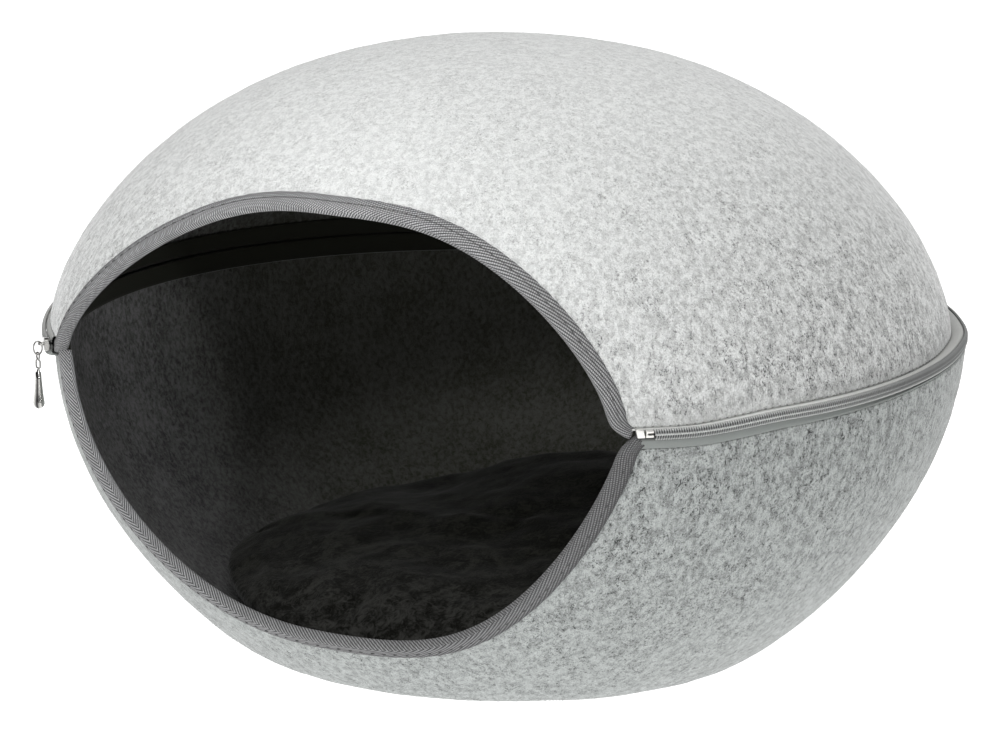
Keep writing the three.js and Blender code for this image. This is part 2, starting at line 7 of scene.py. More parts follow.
import bmesh
import bpy
import numpy as np
from mathutils import Matrix, Vector, noise


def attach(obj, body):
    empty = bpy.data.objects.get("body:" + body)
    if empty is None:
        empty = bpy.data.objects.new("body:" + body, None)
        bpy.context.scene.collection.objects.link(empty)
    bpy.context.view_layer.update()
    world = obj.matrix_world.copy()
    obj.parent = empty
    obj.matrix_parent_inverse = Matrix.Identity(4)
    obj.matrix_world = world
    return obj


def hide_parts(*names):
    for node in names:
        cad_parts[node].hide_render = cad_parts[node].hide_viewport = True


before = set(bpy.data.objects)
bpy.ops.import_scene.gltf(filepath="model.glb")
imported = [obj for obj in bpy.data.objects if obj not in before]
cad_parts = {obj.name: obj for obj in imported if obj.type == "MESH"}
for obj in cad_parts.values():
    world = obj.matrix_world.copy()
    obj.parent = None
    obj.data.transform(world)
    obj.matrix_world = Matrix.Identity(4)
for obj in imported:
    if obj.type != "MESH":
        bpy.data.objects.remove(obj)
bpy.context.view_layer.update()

MM = 0.001

# Felt body, measured on the outer face
HALF_WIDTH = 293
HALF_DEPTH = 275
ZIP_HEIGHT = 197
DOME_RISE = 180.5
DOME_SHARE = 0.989
DOME_RISE_CURVE = 1.607
DOME_REACH_CURVE = 2.26
BOWL_DEPTH_CURVE = 1.967
BOWL_REACH_CURVE = 1.138
FOOT_SHARE = 0.596
LEAN = np.array([5.0, 3.0])

# Layers and joints
FELT = 2.6
LINING = 1.7
GAP = 0.3
WALL = FELT + GAP + LINING
DOME_SEAM = 3
BOWL_SEAM = 8.6
# Places where the zip's tapes show more or less: turn, spread, and the change above and below the zip
SEAM_CHANGES = [(52, 13, -1.1, 0.8), (100, 26, -1.8, -3.8)]

# Felt
EDGE_ROUND = 1.25  # rounding of its cut edge
HEM = np.array([0, 0.12, 0.4, 0.8, 1.3, 2.2, 3.6])  # closer rows of points in from the cut edge
PLAIN_HEM = 12  # width in from the cut edge over which its lumps die out
LAST_ROW = 0.985  # share of the way to its middle
FELT_STEPS = 400  # steps that the way is measured in
FELT_GRID = (120, 150, 84)  # columns across the mouth, columns round the back, and rows
LINING_GRID = (90, 100, 56)
FELT_LUMPS = [(0.5, 70, 1), (0.3, 16, 2), (0.16, 6, 3)]  # height, size and seed
LINING_LUMPS = [(0.5, 60, 4), (0.3, 12, 5)]
UNDER_LUMPS = 0.5  # share of them on its under face
# Loose fibre ends
FUZZ = {"count": 15000, "lowest": 5, "spread": 0.7, "short": 1.2, "long": 3.4, "radius": 0.07, "sunk": 0.3}
FUZZ_RISE = (8, 50)
FUZZ_SEED = 21
# Strength of the felt's mottling at two heights, so that the crown and the foot are plainer, and the share
# of it left at the cut edge, at the front and at the sides. The plainer crown and foot are painted light:
# the marks fade where the lamps and the glowing floor light the felt most. The dome's share at its cut edge
# is
# painted light as well: fewer dark marks keep the felt paler there, against the shade under the zip's ledge
DOME_MOTTLING = {
    "low_m": 0.2,
    "high_m": 0.385,
    "at_low": 1.1,
    "at_high": 0.52,
    "at_rim": 0.55,
    "at_front": 0.8,
    "at_sides": 1.04,
}
BOWL_MOTTLING = {
    "low_m": 0.02,
    "high_m": 0.19,
    "at_low": 0.94,
    "at_high": 1.12,
    "at_rim": 1.0,
    "at_front": 1.0,
    "at_sides": 1.0,
}
FELT_FRONT_M = -0.21
FELT_SIDES_M = -0.06
STRAND_STRETCH = 0.6  # share of a strand's fineness left upright
RIM = 9  # width in from the cut edge over which the mottling changes, which at the dome is painted light

# Mouth: corners, reach of its cut edges from the zip, and each side's arch, tucked end, the shares of the
# binding's leg and fold that are left there, and how far the binding drops there
MOUTH_LEFT = 44.5
MOUTH_RIGHT = 42.2
MOUTH_UPPER = {
    "reach": 113.8,
    "left": {"along": 2.72, "across": 0.875, "tuck": 1.5, "tuck_up": -0.5, "ends": (1, 1), "drop": 3.4},
    "right": {"along": 2.8, "across": 0.668, "tuck": 2.0, "tuck_up": -1.2, "ends": (0.6, 1), "drop": 0.6},
}
MOUTH_LOWER = {
    "reach": 153.2,
    "left": {"along": 2.6, "across": 0.714, "tuck": 1.2, "tuck_up": 3.6, "ends": (0.8, 0.8), "drop": 0},
    "right": {"along": 3.84, "across": 0.89, "tuck": 1.8, "tuck_up": 3.4, "ends": (0.55, 0.9), "drop": 0},
}

# Turn and rise of the zip line above its level at the left corner of the mouth
ZIP_WAVE = [
    (-180, 0),
    (0, 0),
    (MOUTH_RIGHT, 1.8),
    (50, 1.4),
    (64, 5.2),
    (88, 5.6),
    (104, 5.2),
    (124, 0),
    (180, 0),
]

# Tape folded over the mouth's edge
BINDING = 1
BINDING_LEG = 8.2
BINDING_PUFF = 0.5
BINDING_SLACK = 1.5
BINDING_CROWN = 1.3
BINDING_FLANK = 0.917
BINDING_ROUND = 0.6
BINDING_STEP = 0.7  # spacing of its sections
BINDING_FINE = 0.05  # spacing that its outline is measured in
BINDING_POINTS = 36  # points round its outer face
OUTLINE_POINTS = 400
EDGE_POINTS = 1500
BINDING_TAPER = 18  # length of each end over which it thins
BINDING_EASE = 36  # length of each end over which its bend is eased
BINDING_WINDOWS = {"run": 9, "end": 31, "turn": 15}  # sections that an easing spans
BINDING_FOLD_SHARES = ((0, 0.4, 1), (0.72, 1, 1))  # share of its length, and of its fold's height there
BINDING_DARK = (1.6, 1.4)  # painted shade: dark strip along its free edge, where it lies on the felt, and the width over which it fades
BINDING_WAVER = {"depth": 0.45, "length": 5, "width": 3, "shift": 15}  # of its free edge
TICK_PITCH = 1.5  # spacing of the single threads' ticks along the tape
STITCH = {"at": 4.9, "radius": 0.3, "length": 2.6, "pitch": 7.6, "bare": 12}  # in from the free edge
FELT_STITCH = {"at": 0.8, "radius": 0.22, "length": 1.4, "pitch": 5.2}  # in from the dome's cut edge
STITCH_STEPS = 5
STITCH_SIDES = 6
STITCH_ARCH = np.sin(np.linspace(0.12, 0.88, STITCH_STEPS) * np.pi)
STITCH_RISE = 1.6 * STITCH_ARCH - 0.9  # shares of its radius
STITCH_THICK = 0.6 + 0.4 * STITCH_ARCH

# Herringbone of each binding at even steps from its left end to its right end: the ribs' lean and spacing,
# the returning ribs' lean and spacing, where they turn back, in from the free edge, how dark the free edge
# is painted (painted shade where it lies on the felt), how much of the lean the outer leg has, its share of
# the leg's full length, the lean and depth of the single threads' ticks, the depth of the painted shade in
# the sewn groove, and how pale the tape is, which is painted light and shade: one yarn, paler along the top
# of the mouth and darker towards the lower tape's right end
UPPER_WEAVE = {
    "lean": (-0.75, 1.1, 3.8),
    "rib": (1.15, 1.15, 1.3, 1.9, 1.6),
    "back": (0.8, -0.7, -0.7),
    "return": (1.6, 1.6, 1.6),
    "turn": (13, 11.5, 15),
    "edge": (0.75, 0.25, 0.3),
    "leg": (0.6, 1, 1),
    "reach": (0.8, 1, 1),
    "slant": (0, 0, -0.84),
    "tick": (0.35, 0.6, 0.6),
    "groove_shade": (0.45, 0.9, 0.8, 0.6, 0.4),
    "tone": (1.1, 1.75, 1.3),
}
LOWER_WEAVE = {
    "lean": (-1.6, -2.3, -3.8),
    "rib": (1.35, 1.9, 1.7),
    "back": (-1.9, -1.2, -0.5),
    "return": (1.18, 1.6, 1.6),
    "turn": (15.6, 8.4, 15),
    "edge": (0.3, 0.35, 0.6),
    "leg": (0.6, 1, 1),
    "reach": (1.15, 0.82, 1),
    "slant": (0, 0.6, 0.6),
    "tick": (0, 0.3, 0.95),
    "groove_shade": (0, 0, 0.4),
    "tone": (1.25, 1.0, 0.72),
}

# Zip
ZIP_SHIFT = np.array([-2.2, -1.3, 0.0])
ZIP_SAGS = [(-54, 22, 2.6), (52, 5, 0.1)]  # turn, spread and depth of each dip
ZIP_INSET = (100, 28, 2.0)  # turn, spread and depth of the place where it sits further in
ZIP_TAPE = 1
ZIP_ROWS = {"tape": 560, "facing": 320, "coil": 4000, "stitches": 2400}  # sections along each
BEHIND_FELT = -WALL - GAP - ZIP_TAPE / 2
# Way of the tape from behind the felt: out from the felt's face, and in from its cut edge
TAPE_WAY = [(BEHIND_FELT, 6), (BEHIND_FELT, 0.5), (BEHIND_FELT + 1.4, -0.5), (-1.2, -0.55), (0.2, -0.8)]
TAPE_COLUMNS = 19
# Lower tape's end beside the slider, and the share of the bulge at each row of the tape's way
TAPE_BULGE = {"at": -50.5, "spread": 2.4, "out": 4, "down": 3}
BULGE_SHARES = {3: 0.6, 4: 1.0, 5: 0.7}
ZIP_TAPE_ENDS = {"right": 9.6, "left": 15}
UPPER_TAPE_ENDS = {"right": 9.6, "left": 20.5}  # behind the slider
ZIP_PAINTED_SHADE = {"from": 58, "to": 92, "tape": 0.32, "coil": 0.7}  # turns over which its upper part is painted darker, as painted shade round the right side
COIL_ENDS = {"right": 18.6, "left": 27.6}
COIL_PITCH = 1.5
COIL_REACH = 2.8  # height of its rows
COIL_PALING = 0.8  # how far the coil is made paler, and where
COIL_PALE_AT = -66
COIL_PALE_SPREAD = 16
FACING = 1
FACING_WIDTH = 14
FACING_EDGE = 0.8
FACING_COLUMNS = 7
# One turn of the coil: along the zip, up from the zip line, out from its ring, the wire's radius and how
# pale it is painted: painted highlights on its top edge and where the two rows lock, painted shade by the
# tape and down its flank
COIL_TURN = np.array(
    [
        (-0.3, 3.0, 2.75, 0.36, 0.2),
        (-0.28, 3.05, 3.5, 0.4, 0.75),
        (-0.2, 2.6, 4.35, 0.46, 0.7),
        (-0.05, 1.6, 4.65, 0.48, 0.22),
        (0.05, 0.75, 4.7, 0.44, 0.35),
        (0.1, 0.1, 4.75, 0.36, 1.0),
        (0.15, -0.35, 4.3, 0.33, 1.0),
        (0.15, -0.3, 3.3, 0.3, 0.3),
    ]
)
COIL_SIDES = 5

# Metal fittings
METAL_SEAT = 2.6
METAL_ROUND = 0.5  # rounding of a plate's edges
WIRE_SIDES = 14
RING_ROWS = 64
LINK_ROWS = 30
NECK_ROWS = 14
ZIP_BOX = {"along": 4.6, "up": 5.2, "out": 3.4, "at": 10.2, "lift": 1.3, "lean": 0.55}
ZIP_PIN = {"along": 4.8, "up": 4.2, "out": 2.9, "at": 15.8, "lift": 0.8, "slot": 0.9, "root": 1.2}
SLIDER = {"at": 22, "half": 5, "wide": 4.3, "narrow": 3.1, "nose": 3.2, "shoulder": 2.5, "out": 3.6}
BRIDGE = {"half": 3.2, "wall": 1.2, "hole": 2.6, "bar": 1.1, "bend": 0.9, "root": 0.4}
BRIDGE_ROWS = 30
BRIDGE_SIDES = 12
RING = {"width": 5.4, "height": 8.6, "wire": 1, "up": -2.7, "out": 10}
LINK = {"width": 4.8, "height": 11.2, "wire": 1.1, "top": -5, "twist": 60}
# Shares of the link's half width and height, down one side
LINK_WIDE = (0, 0.55, 0.6, 0.3, 0.78, 0.8, 0.5, 0)
LINK_HIGH = (0.95, 0.9, 0.72, 0.54, 0.46, 0.14, 0.06, 0.05)
# The drop's streak is a painted reflection, a dark band down one side: its turn and spread
DROP = {"length": 25.4, "bottom": 4.0, "flat": 0.85, "streak": 62, "streak_spread": 24, "tip": 0.02}
DROP_SIDE = [(0.4, 3.1), (0.75, 2.25), (0.92, 2.0), (0.95, 1.1), (1, 1.0)]  # share of length, radius
DROP_SIDES = 36

# Cushion
CUSHION_GRID = 5  # spacing of its cloth's points
CUSHION_FRAMES = 16
CUSHION_PRESSURE = 3.5
CUSHION_TENSION = 12
CUSHION_BENDING = 0.3
CUSHION_SWELL = 5  # furthest that a point may move
CUSHION_LUMPS = [(3.6, 38, 9), (0.9, 12, 10)]  # height, size and seed
# Creases that swirl round the hollow: where they start, their middle, twist, spacing and height
CREASE = {"from": 30, "over": 25, "middle": (20, -10), "turn": 30, "out": 0.55, "pitch": 13, "high": 2.8}
CREASE_WARP = (9, 45, 7)  # height, size and seed of their wander, and of their fading
CREASE_FADE = (0.5, 55, 8)

# Photograph's camera
PHOTO_WIDTH = 1000
FOCAL_PIXELS = 4610.965
SENSOR = 36.0
CAMERA_EYE = Vector((1429.6, -2461.1, 893.1))
CAMERA_AZIMUTH = 30.13
CAMERA_ELEVATION = 14.279
CAMERA_ROLL = 0.247
CAMERA_REACH_M = 20

# Studio
BASKET_MIDDLE_M = (0, 0, 0.2)
FLOOR = 15000  # half its width
FLOOR_DROP = 0.2  # depth under the basket
WORLD_GLOW = 0.06
# Disk lamps: place, and power in watts
LAMP_WIDTH_M = 1.6
LAMPS_M = {
    "top": ((0, 0, 2.6), 14),
    "front": ((0.66, -1.57, 2.1), 30.5),
    "left": ((-1.5, -0.9, 1.9), 7),
    "low_front": ((0.6, -2.2, 1.05), 6),
}
BACK_LAMP_M = {"place": (0, 3.6, 3.05), "target": (0, 0, 3.05), "width": 14, "tall": 5.9, "power": 245}
# Spot lamps into the mouth: place, target, radius, cone in degrees, and power in watts
SPOTS_M = {
    "mouth": ((0.1, -2.0, 1.12), (-0.04, 0.26, 0.1), 0.15, 12, 36),
    "mouth_side": ((1.68, -1.22, 0.52), (-0.28, -0.08, 0.14), 0.14, 6.4, 56),
}


def wrapped(turn):
    """The same turn between -180 and 180"""
    return (np.asarray(turn, float) + 180) % 360 - 180


def fade(share):
    """Smooth change from 0 to 1 as a share does the same"""
    share = np.clip(share, 0, 1)
    return share * share * (3 - 2 * share)


def bell(turn, middle, spread):
    """Smooth bump of height 1 round a turn"""
    return np.exp(-(((wrapped(turn) - middle) / spread) ** 2))


def zip_rise(turn):
    """Height of the zip line above its level at the left corner of the mouth"""
    place = wrapped(turn)
    turns, rises = np.array(ZIP_WAVE, float).T
    after = np.clip(np.searchsorted(turns, place), 1, len(turns) - 1)
    share = (place - turns[after - 1]) / (turns[after] - turns[after - 1])
    return rises[after - 1] + (rises[after] - rises[after - 1]) * fade(share)


def plan(turn):
    """Place on the basket's oval plan at the zip"""
    angle = np.radians(turn)
    return np.stack([HALF_WIDTH * np.sin(angle), -HALF_DEPTH * np.cos(angle)], axis=-1)


def on_face(turn, reach, lean, height):
    """Point of a face from its reach over the plan, its lean and its height"""
    across = plan(turn) * reach[..., None] + LEAN * lean[..., None]
    return np.concatenate([across, height[..., None]], axis=-1)


def dome_point(turn, climb):
    """Outer face of the dome, from climb 0 at the zip's level to 1 at the crown"""
    angle = np.clip(climb, 0, 1) * np.pi / 2
    rise = np.sin(angle) ** (2 / DOME_RISE_CURVE)
    reach = DOME_SHARE * np.maximum(0, np.cos(angle)) ** (2 / DOME_REACH_CURVE)
    return on_face(turn, reach, rise, ZIP_HEIGHT + DOME_RISE * rise)


def dome_climb(turn, up):
    """Climb of the dome's face at a height above the zip line"""
    share = (zip_rise(turn) + up) / DOME_RISE
    return np.arcsin(np.clip(share, 0, 1) ** (DOME_RISE_CURVE / 2)) / (np.pi / 2)


def bowl_point(turn, climb):
    """Outer face of the bowl, from climb 0 at the zip line to 1 at the foot's edge and 2 at its middle"""
    angle = np.clip(climb, 0, 1) * np.pi / 2
    top = ZIP_HEIGHT + zip_rise(turn)
    depth = top * np.sin(angle) ** (2 / BOWL_DEPTH_CURVE)
    side = np.maximum(0, np.cos(angle)) ** (2 / BOWL_REACH_CURVE)
    foot = FOOT_SHARE * (2 - np.maximum(1, climb))
    return on_face(turn, foot + (1 - FOOT_SHARE) * side, 1 - depth / top, top - depth)


def bowl_climb(turn, down):
    """Climb of the bowl's face at a depth below the zip line"""
    share = down / (ZIP_HEIGHT + zip_rise(turn))
    return np.arcsin(np.clip(share, 0, 1) ** (BOWL_DEPTH_CURVE / 2)) / (np.pi / 2)


# One moulded half: points of its outer face, the climb at a distance from the zip, the climb at its middle,
# its edge of the mouth, the width of zip that shows, and its side of the zip
Half = namedtuple("Half", "point climb end lip seam side")
DOME = Half(dome_point, dome_climb, 1, MOUTH_UPPER, DOME_SEAM, 1)
BOWL = Half(bowl_point, bowl_climb, 2, MOUTH_LOWER, BOWL_SEAM, -1)


def unit(vectors):
    return vectors / np.maximum(np.linalg.norm(vectors, axis=-1, keepdims=True), 1e-9)


def edge_up(half, turn):
    """Distance of a half's cut edge from the zip line"""
    place = wrapped(turn)
    left = place < 0
    share = np.clip(np.abs(place) / np.where(left, MOUTH_LEFT, MOUTH_RIGHT), 0, 1)
    along = np.where(left, half.lip["left"]["along"], half.lip["right"]["along"])
    across = np.where(left, half.lip["left"]["across"], half.lip["right"]["across"])
    seam = half.seam
    for middle, spread, above, below in SEAM_CHANGES:
        change = above if half is DOME else below
        seam = seam + change * bell(turn, middle, spread)
    return seam + (half.lip["reach"] - seam) * (1 - share**along) ** across


def face_normal(half, turn, climb):
    """Outward direction of a half's face"""
    turn_step = 0.05
    climb_step = 0.004
    around = half.point(turn + turn_step, climb) - half.point(turn - turn_step, climb)
    low = half.point(turn, np.maximum(climb - climb_step, 0))
    high = half.point(turn, np.minimum(climb + climb_step, half.end))
    return unit(np.cross(around, high - low) * half.side)


def turn_past(corner, length):
    """Turn of a place on the zip, from its length round from a corner of the mouth"""
    angle = np.radians(corner)
    return corner + np.degrees(length / np.hypot(HALF_WIDTH * np.cos(angle), HALF_DEPTH * np.sin(angle)))


def right_turn(length):
    return turn_past(MOUTH_RIGHT, length)


def left_turn(length):
    return 360 - turn_past(MOUTH_LEFT, length)


def zip_outward(turn):
    """Level direction out of the zip's ring"""
    angle = np.radians(turn)
    outward = np.stack([HALF_DEPTH * np.sin(angle), -HALF_WIDTH * np.cos(angle), 0 * angle], axis=-1)
    return unit(outward)


def zip_line(turn):
    """Middle of the zip's ring"""
    turn = np.asarray(turn, float)
    line = bowl_point(turn, np.zeros_like(turn)) + ZIP_SHIFT
    for middle, spread, depth in ZIP_SAGS:
        line[..., 2] -= depth * bell(turn, middle, spread)
    middle, spread, depth = ZIP_INSET
    return line - zip_outward(turn) * (depth * bell(turn, middle, spread))[..., None]


def zip_point(half, turn, out, up):
    """Point straight up or down from the zip line, and out from the zip's ring"""
    point = zip_line(turn) + zip_outward(turn) * out
    point[..., 2] += half.side * up
    return point


def felt_point(half, turn, out, up):
    """Point up the dome or down the bowl from the zip line, and out from the felt's face"""
    climb = half.climb(turn, up)
    return half.point(turn, climb) + face_normal(half, turn, climb) * out


def soft_noise(points, size, seed):
    """Smooth noise of a feature size at points, from about -1 to 1"""
    shift = Vector((seed * 17.3, seed * 5.1, seed * 9.7))
    return np.array([noise.noise(Vector(point) / size + shift) for point in points.reshape(-1, 3)])


def lumpy(points, lumps):
    """Sum of smooth noises, each of a height, a size and a seed"""
    return sum(height * soft_noise(points, size, seed) for height, size, seed in lumps)


def path_lengths(points):
    """Length along a line up to each of its points, where rows of several lines may be given"""
    steps = np.linalg.norm(np.diff(points, axis=-2), axis=-1)
    start = np.zeros(steps.shape[:-1] + (1,))
    return np.concatenate([start, np.cumsum(steps, axis=-1)], axis=-1)


def even_places(lengths, step):
    """Evenly spaced lengths along a line"""
    return np.linspace(0, lengths[-1], int(lengths[-1] / step) + 1)


def at_places(places, lengths, rows):
    """Rows of values at places along a line, from the rows at known lengths"""
    return np.stack([np.interp(places, lengths, column) for column in rows.T], axis=-1)


def eased(values, window):
    """Running mean of rows, with the two ends kept in place"""
    reach = window // 2
    before = 2 * values[:1] - values[reach:0:-1]
    after = 2 * values[-1:] - values[-2 : -reach - 2 : -1]
    padded = np.concatenate([before, values, after])
    kernel = np.ones(window) / window
    return np.stack([np.convolve(column, kernel, mode="valid") for column in padded.T], axis=-1)


def spline(points, count):
    """Even points on a smooth curve through the points, which may be rows of several curves"""
    ends = np.concatenate([2 * points[:1] - points[1:2], points, 2 * points[-1:] - points[-2:-1]])
    places = np.linspace(0, len(points) - 1, count)
    start = np.minimum(places.astype(int), len(points) - 2)
    shape = (-1,) + (1,) * (points.ndim - 1)
    share = (places - start).reshape(shape)
    before, here, after, last = (ends[start + offset] for offset in range(4))
    slope = (after - before) / 2
    next_slope = (last - here) / 2
    square = share * share
    cube = square * share
    return (
        here * (2 * cube - 3 * square + 1)
        + after * (3 * square - 2 * cube)
        + slope * (cube - 2 * square + share)
        + next_slope * (cube - square)
    )


def grid_faces(rows, columns, start=0, closed_rows=False, closed_columns=False):
    """Quads of a grid of points stored row by row"""
    row = np.arange(rows if closed_rows else rows - 1)[:, None]
    column = np.arange(columns if closed_columns else columns - 1)[None, :]
    next_row = (row + 1) % rows
    next_column = (column + 1) % columns
    corners = [
        row * columns + column,
        row * columns + next_column,
        next_row * columns + next_column,
        next_row * columns + column,
    ]
    return (np.stack(corners, axis=-1).reshape(-1, 4) + start).tolist()


def tube_faces(rows, sides, start=0):
    """Faces of a tube stored ring by ring, with both ends closed"""
    faces = grid_faces(rows, sides, start, closed_columns=True)
    for first in (start, start + (rows - 1) * sides):
        faces.append(list(range(first, first + sides)))
    return faces


def rings(across, other, sides):
    """Circles of points, one for each pair of directions"""
    angles = np.linspace(0, 2 * np.pi, sides, endpoint=False)[:, None]
    return across[:, None] * np.cos(angles) + other[:, None] * np.sin(angles)


def make_piece(name, points, faces, material):
    """A smooth mesh object, with its points in millimetres and its faces turned outwards"""
    mesh = bpy.data.meshes.new(name)
    mesh.from_pydata((np.asarray(points, float).reshape(-1, 3) * MM).tolist(), [], faces)
    shape = bmesh.new()
    shape.from_mesh(mesh)
    bmesh.ops.recalc_face_normals(shape, faces=shape.faces)
    shape.to_mesh(mesh)
    shape.free()
    mesh.shade_smooth()
    mesh.materials.append(material)
    piece = bpy.data.objects.new(name, mesh)
    bpy.context.scene.collection.objects.link(piece)
    return piece


def store(piece, name, values):
    """A number for each point, which a material reads"""
    layer = piece.data.attributes.new(name, "FLOAT", "POINT")
    layer.data.foreach_set("value", np.asarray(values, np.float32).ravel())


def stand_for(piece, slot, *nodes):
    """Sets a piece in the frame in place of CAD nodes"""
    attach(piece, "root")
    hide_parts(*nodes)


def add_on(piece):
    """Sets a piece in the frame that stands for no CAD node"""
    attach(piece, "root")


class Nodes:
    """Short way to wire a material"""

    def __init__(self, name):
        self.material = bpy.data.materials.new(name)
        self.material.use_nodes = True
        self.tree = self.material.node_tree
        self.shader = self.tree.nodes["Principled BSDF"]

    def add(self, kind, inputs, **settings):
        """A node of a kind, with its settings and its inputs, and its first output back"""
        made = self.tree.nodes.new("ShaderNode" + kind)
        for key, value in settings.items():
            setattr(made, key, value)
        for key, value in inputs.items():
            self.put(made.inputs[key], value)
        return made.outputs[0]

    def put(self, socket, value):
        if isinstance(value, bpy.types.NodeSocket):
            self.tree.links.new(value, socket)
        else:
            socket.default_value = value

    def set(self, **inputs):
        """Values or links of the shader's own sockets, with spaces for underscores"""
        for key, value in inputs.items():
            self.put(self.shader.inputs[key.replace("_", " ")], value)

    def place(self):
        """Place on the piece, in metres"""
        return self.tree.nodes.new("ShaderNodeTexCoord").outputs["Object"]

    def attribute(self, name):
        made = self.tree.nodes.new("ShaderNodeAttribute")
        made.attribute_name = name
        return made.outputs["Fac"]

    def grain(self, size, detail=2.0, roughness=0.55, distortion=0.0, vector=None):
        """Noise with features of a size in millimetres"""
        return self.add(
            "TexNoise",
            {
                "Vector": vector or self.place(),
                "Scale": 1 / (size * MM),
                "Detail": detail,
                "Roughness": roughness,
                "Distortion": distortion,
            },
        )

    def math(self, operation, first, second=0.0):
        return self.add("Math", {0: first, 1: second}, operation=operation)

    def ramp(self, value, low, high, to_low=0.0, to_high=1.0):
        """Smooth change from one value to another as the input goes from low to high"""
        inputs = {0: value, 1: low, 2: high, 3: to_low, 4: to_high}
        return self.add("MapRange", inputs, interpolation_type="SMOOTHSTEP")

    def mix(self, share, first, second):
        """Mix of two colours"""
        made = self.tree.nodes.new("ShaderNodeMix")
        made.data_type = "RGBA"
        self.put(made.inputs[0], share)
        self.put(made.inputs[6], first)
        self.put(made.inputs[7], second)
        return made.outputs[2]

    def bump(self, height, depth, strength=1.0):
        """Surface direction from a height, where 1 stands for a depth in millimetres"""
        return self.add("Bump", {"Height": height, "Distance": depth * MM, "Strength": strength})

    def times(self, *values):
        """Product of values"""
        product = values[0]
        for value in values[1:]:
            product = self.math("MULTIPLY", product, value)
        return product

    def plus(self, first, first_share, second, second_share):
        """Sum of two values, each times its share"""
        return self.math("ADD", self.times(first, first_share), self.times(second, second_share))

    def away(self, value, middle):
        """Distance of a value from a middle one"""
        return self.math("ABSOLUTE", self.math("SUBTRACT", value, middle))

    def wave(self, count, kind="COSINE"):
        """Wave that repeats at each whole count"""
        return self.math(kind, self.times(count, 2 * np.pi))

    def axes(self):
        """X, Y and Z of the place on the piece, in metres"""
        return self.add("SeparateXYZ", {0: self.place()}).node.outputs

    def cloth(self, colour, normal, roughness, specular, sheen, sheen_roughness=0.5):
        """Sets the shader as cloth, and gives the material back"""
        self.set(
            Base_Color=colour,
            Roughness=roughness,
            Specular_IOR_Level=specular,
            Sheen_Weight=sheen,
            Sheen_Roughness=sheen_roughness,
            Normal=normal,
        )
        return self.material


def grey(value, green=1.0, blue=1.0):
    """A near-grey colour, linear"""
    return (value, value * green, value * blue, 1)


def felt_material(name, light, dark, mottling):
    """Pressed wool felt: pale ground, soft darker patches and thin dark strands that gather in places"""
    nodes = Nodes(name)
    combed = nodes.add("Mapping", {"Vector": nodes.place(), "Scale": (1, 1, STRAND_STRETCH)})
    cloud = nodes.grain(22, 3, 0.6)
    clump = nodes.grain(4.4, 6, 0.7, 0.3, combed)
    strand = nodes.grain(3.2, 2, 0.6, 0.9, combed)
    wisp = nodes.grain(1.9, 2, 0.6, 0.5, combed)
    hair = nodes.grain(1.4, 3, 0.65, 0.6, combed)
    fine = nodes.grain(0.9, 2, 0.7)
    line = nodes.times(nodes.ramp(nodes.away(strand, 0.5), 0, 0.06, 1, 0), nodes.ramp(wisp, 0.44, 0.6))
    fibres = nodes.plus(line, 0.6, nodes.ramp(hair, 0.5, 0.76), 0.5)
    gathered = nodes.times(fibres, nodes.ramp(cloud, 0.36, 0.66, 0.5, 1.0))
    spots = nodes.plus(nodes.ramp(clump, 0.62, 0.36), 0.38, nodes.ramp(fine, 0.7, 0.3), 0.32)
    place = nodes.axes()
    limits = [mottling[key] for key in ("low_m", "high_m", "at_low", "at_high")]
    # Painted light: the marks fade on the brightly lit crown and foot, and by the dome's cut edge
    depth = nodes.times(
        nodes.math("ADD", gathered, spots),
        nodes.ramp(place["Z"], *limits),
        nodes.ramp(place["Y"], FELT_FRONT_M, FELT_SIDES_M, mottling["at_front"], mottling["at_sides"]),
        nodes.ramp(nodes.attribute("rim"), 0, 1, 1, mottling["at_rim"]),
    )
    colour = nodes.mix(depth, light, dark)
    normal = nodes.bump(nodes.plus(wisp, 0.9, clump, 0.5), 0.8, 0.6)
    return nodes.cloth(colour, normal, roughness=0.95, specular=0.15, sheen=0.45, sheen_roughness=0.35)


def lining_material():
    """Charcoal felt with streaky mottling up and down; painted shade makes it darker and warmer deep
    inside, and painted light makes it paler towards the mouth and at the left
    """
    nodes = Nodes("charcoal_felt")
    stretched = nodes.add("Mapping", {"Vector": nodes.place(), "Scale": (1, 1, 0.75)})
    cloud = nodes.grain(30, 3, 0.6)
    streak = nodes.grain(2.8, 3, 0.65, 0.5, stretched)
    fine = nodes.grain(1.0, 2, 0.6)
    shade = nodes.plus(streak, 0.7, cloud, 0.3)
    place = nodes.axes()
    # Painted light and shade: paler towards the mouth and at the left, darker and warmer deep inside
    inside = nodes.ramp(place["Y"], -0.05, 0.16)
    painted_left_light = nodes.ramp(place["X"], -0.3, -0.2, 0.34, 0.18)
    front = nodes.add("CombineColor", {0: painted_left_light, 1: painted_left_light, 2: painted_left_light})
    pale = nodes.mix(inside, front, grey(0.145, 1.01, 0.92))
    deep = nodes.mix(inside, grey(0.06), grey(0.05, 1.03, 0.7))
    colour = nodes.mix(nodes.ramp(shade, 0.34, 0.66), deep, pale)
    colour = nodes.mix(nodes.ramp(fine, 0.35, 0.75, 0, 0.4), colour, pale)
    normal = nodes.bump(nodes.math("ADD", streak, fine), 0.5, 0.6)
    return nodes.cloth(colour, normal, roughness=0.95, specular=0.1, sheen=0.08)


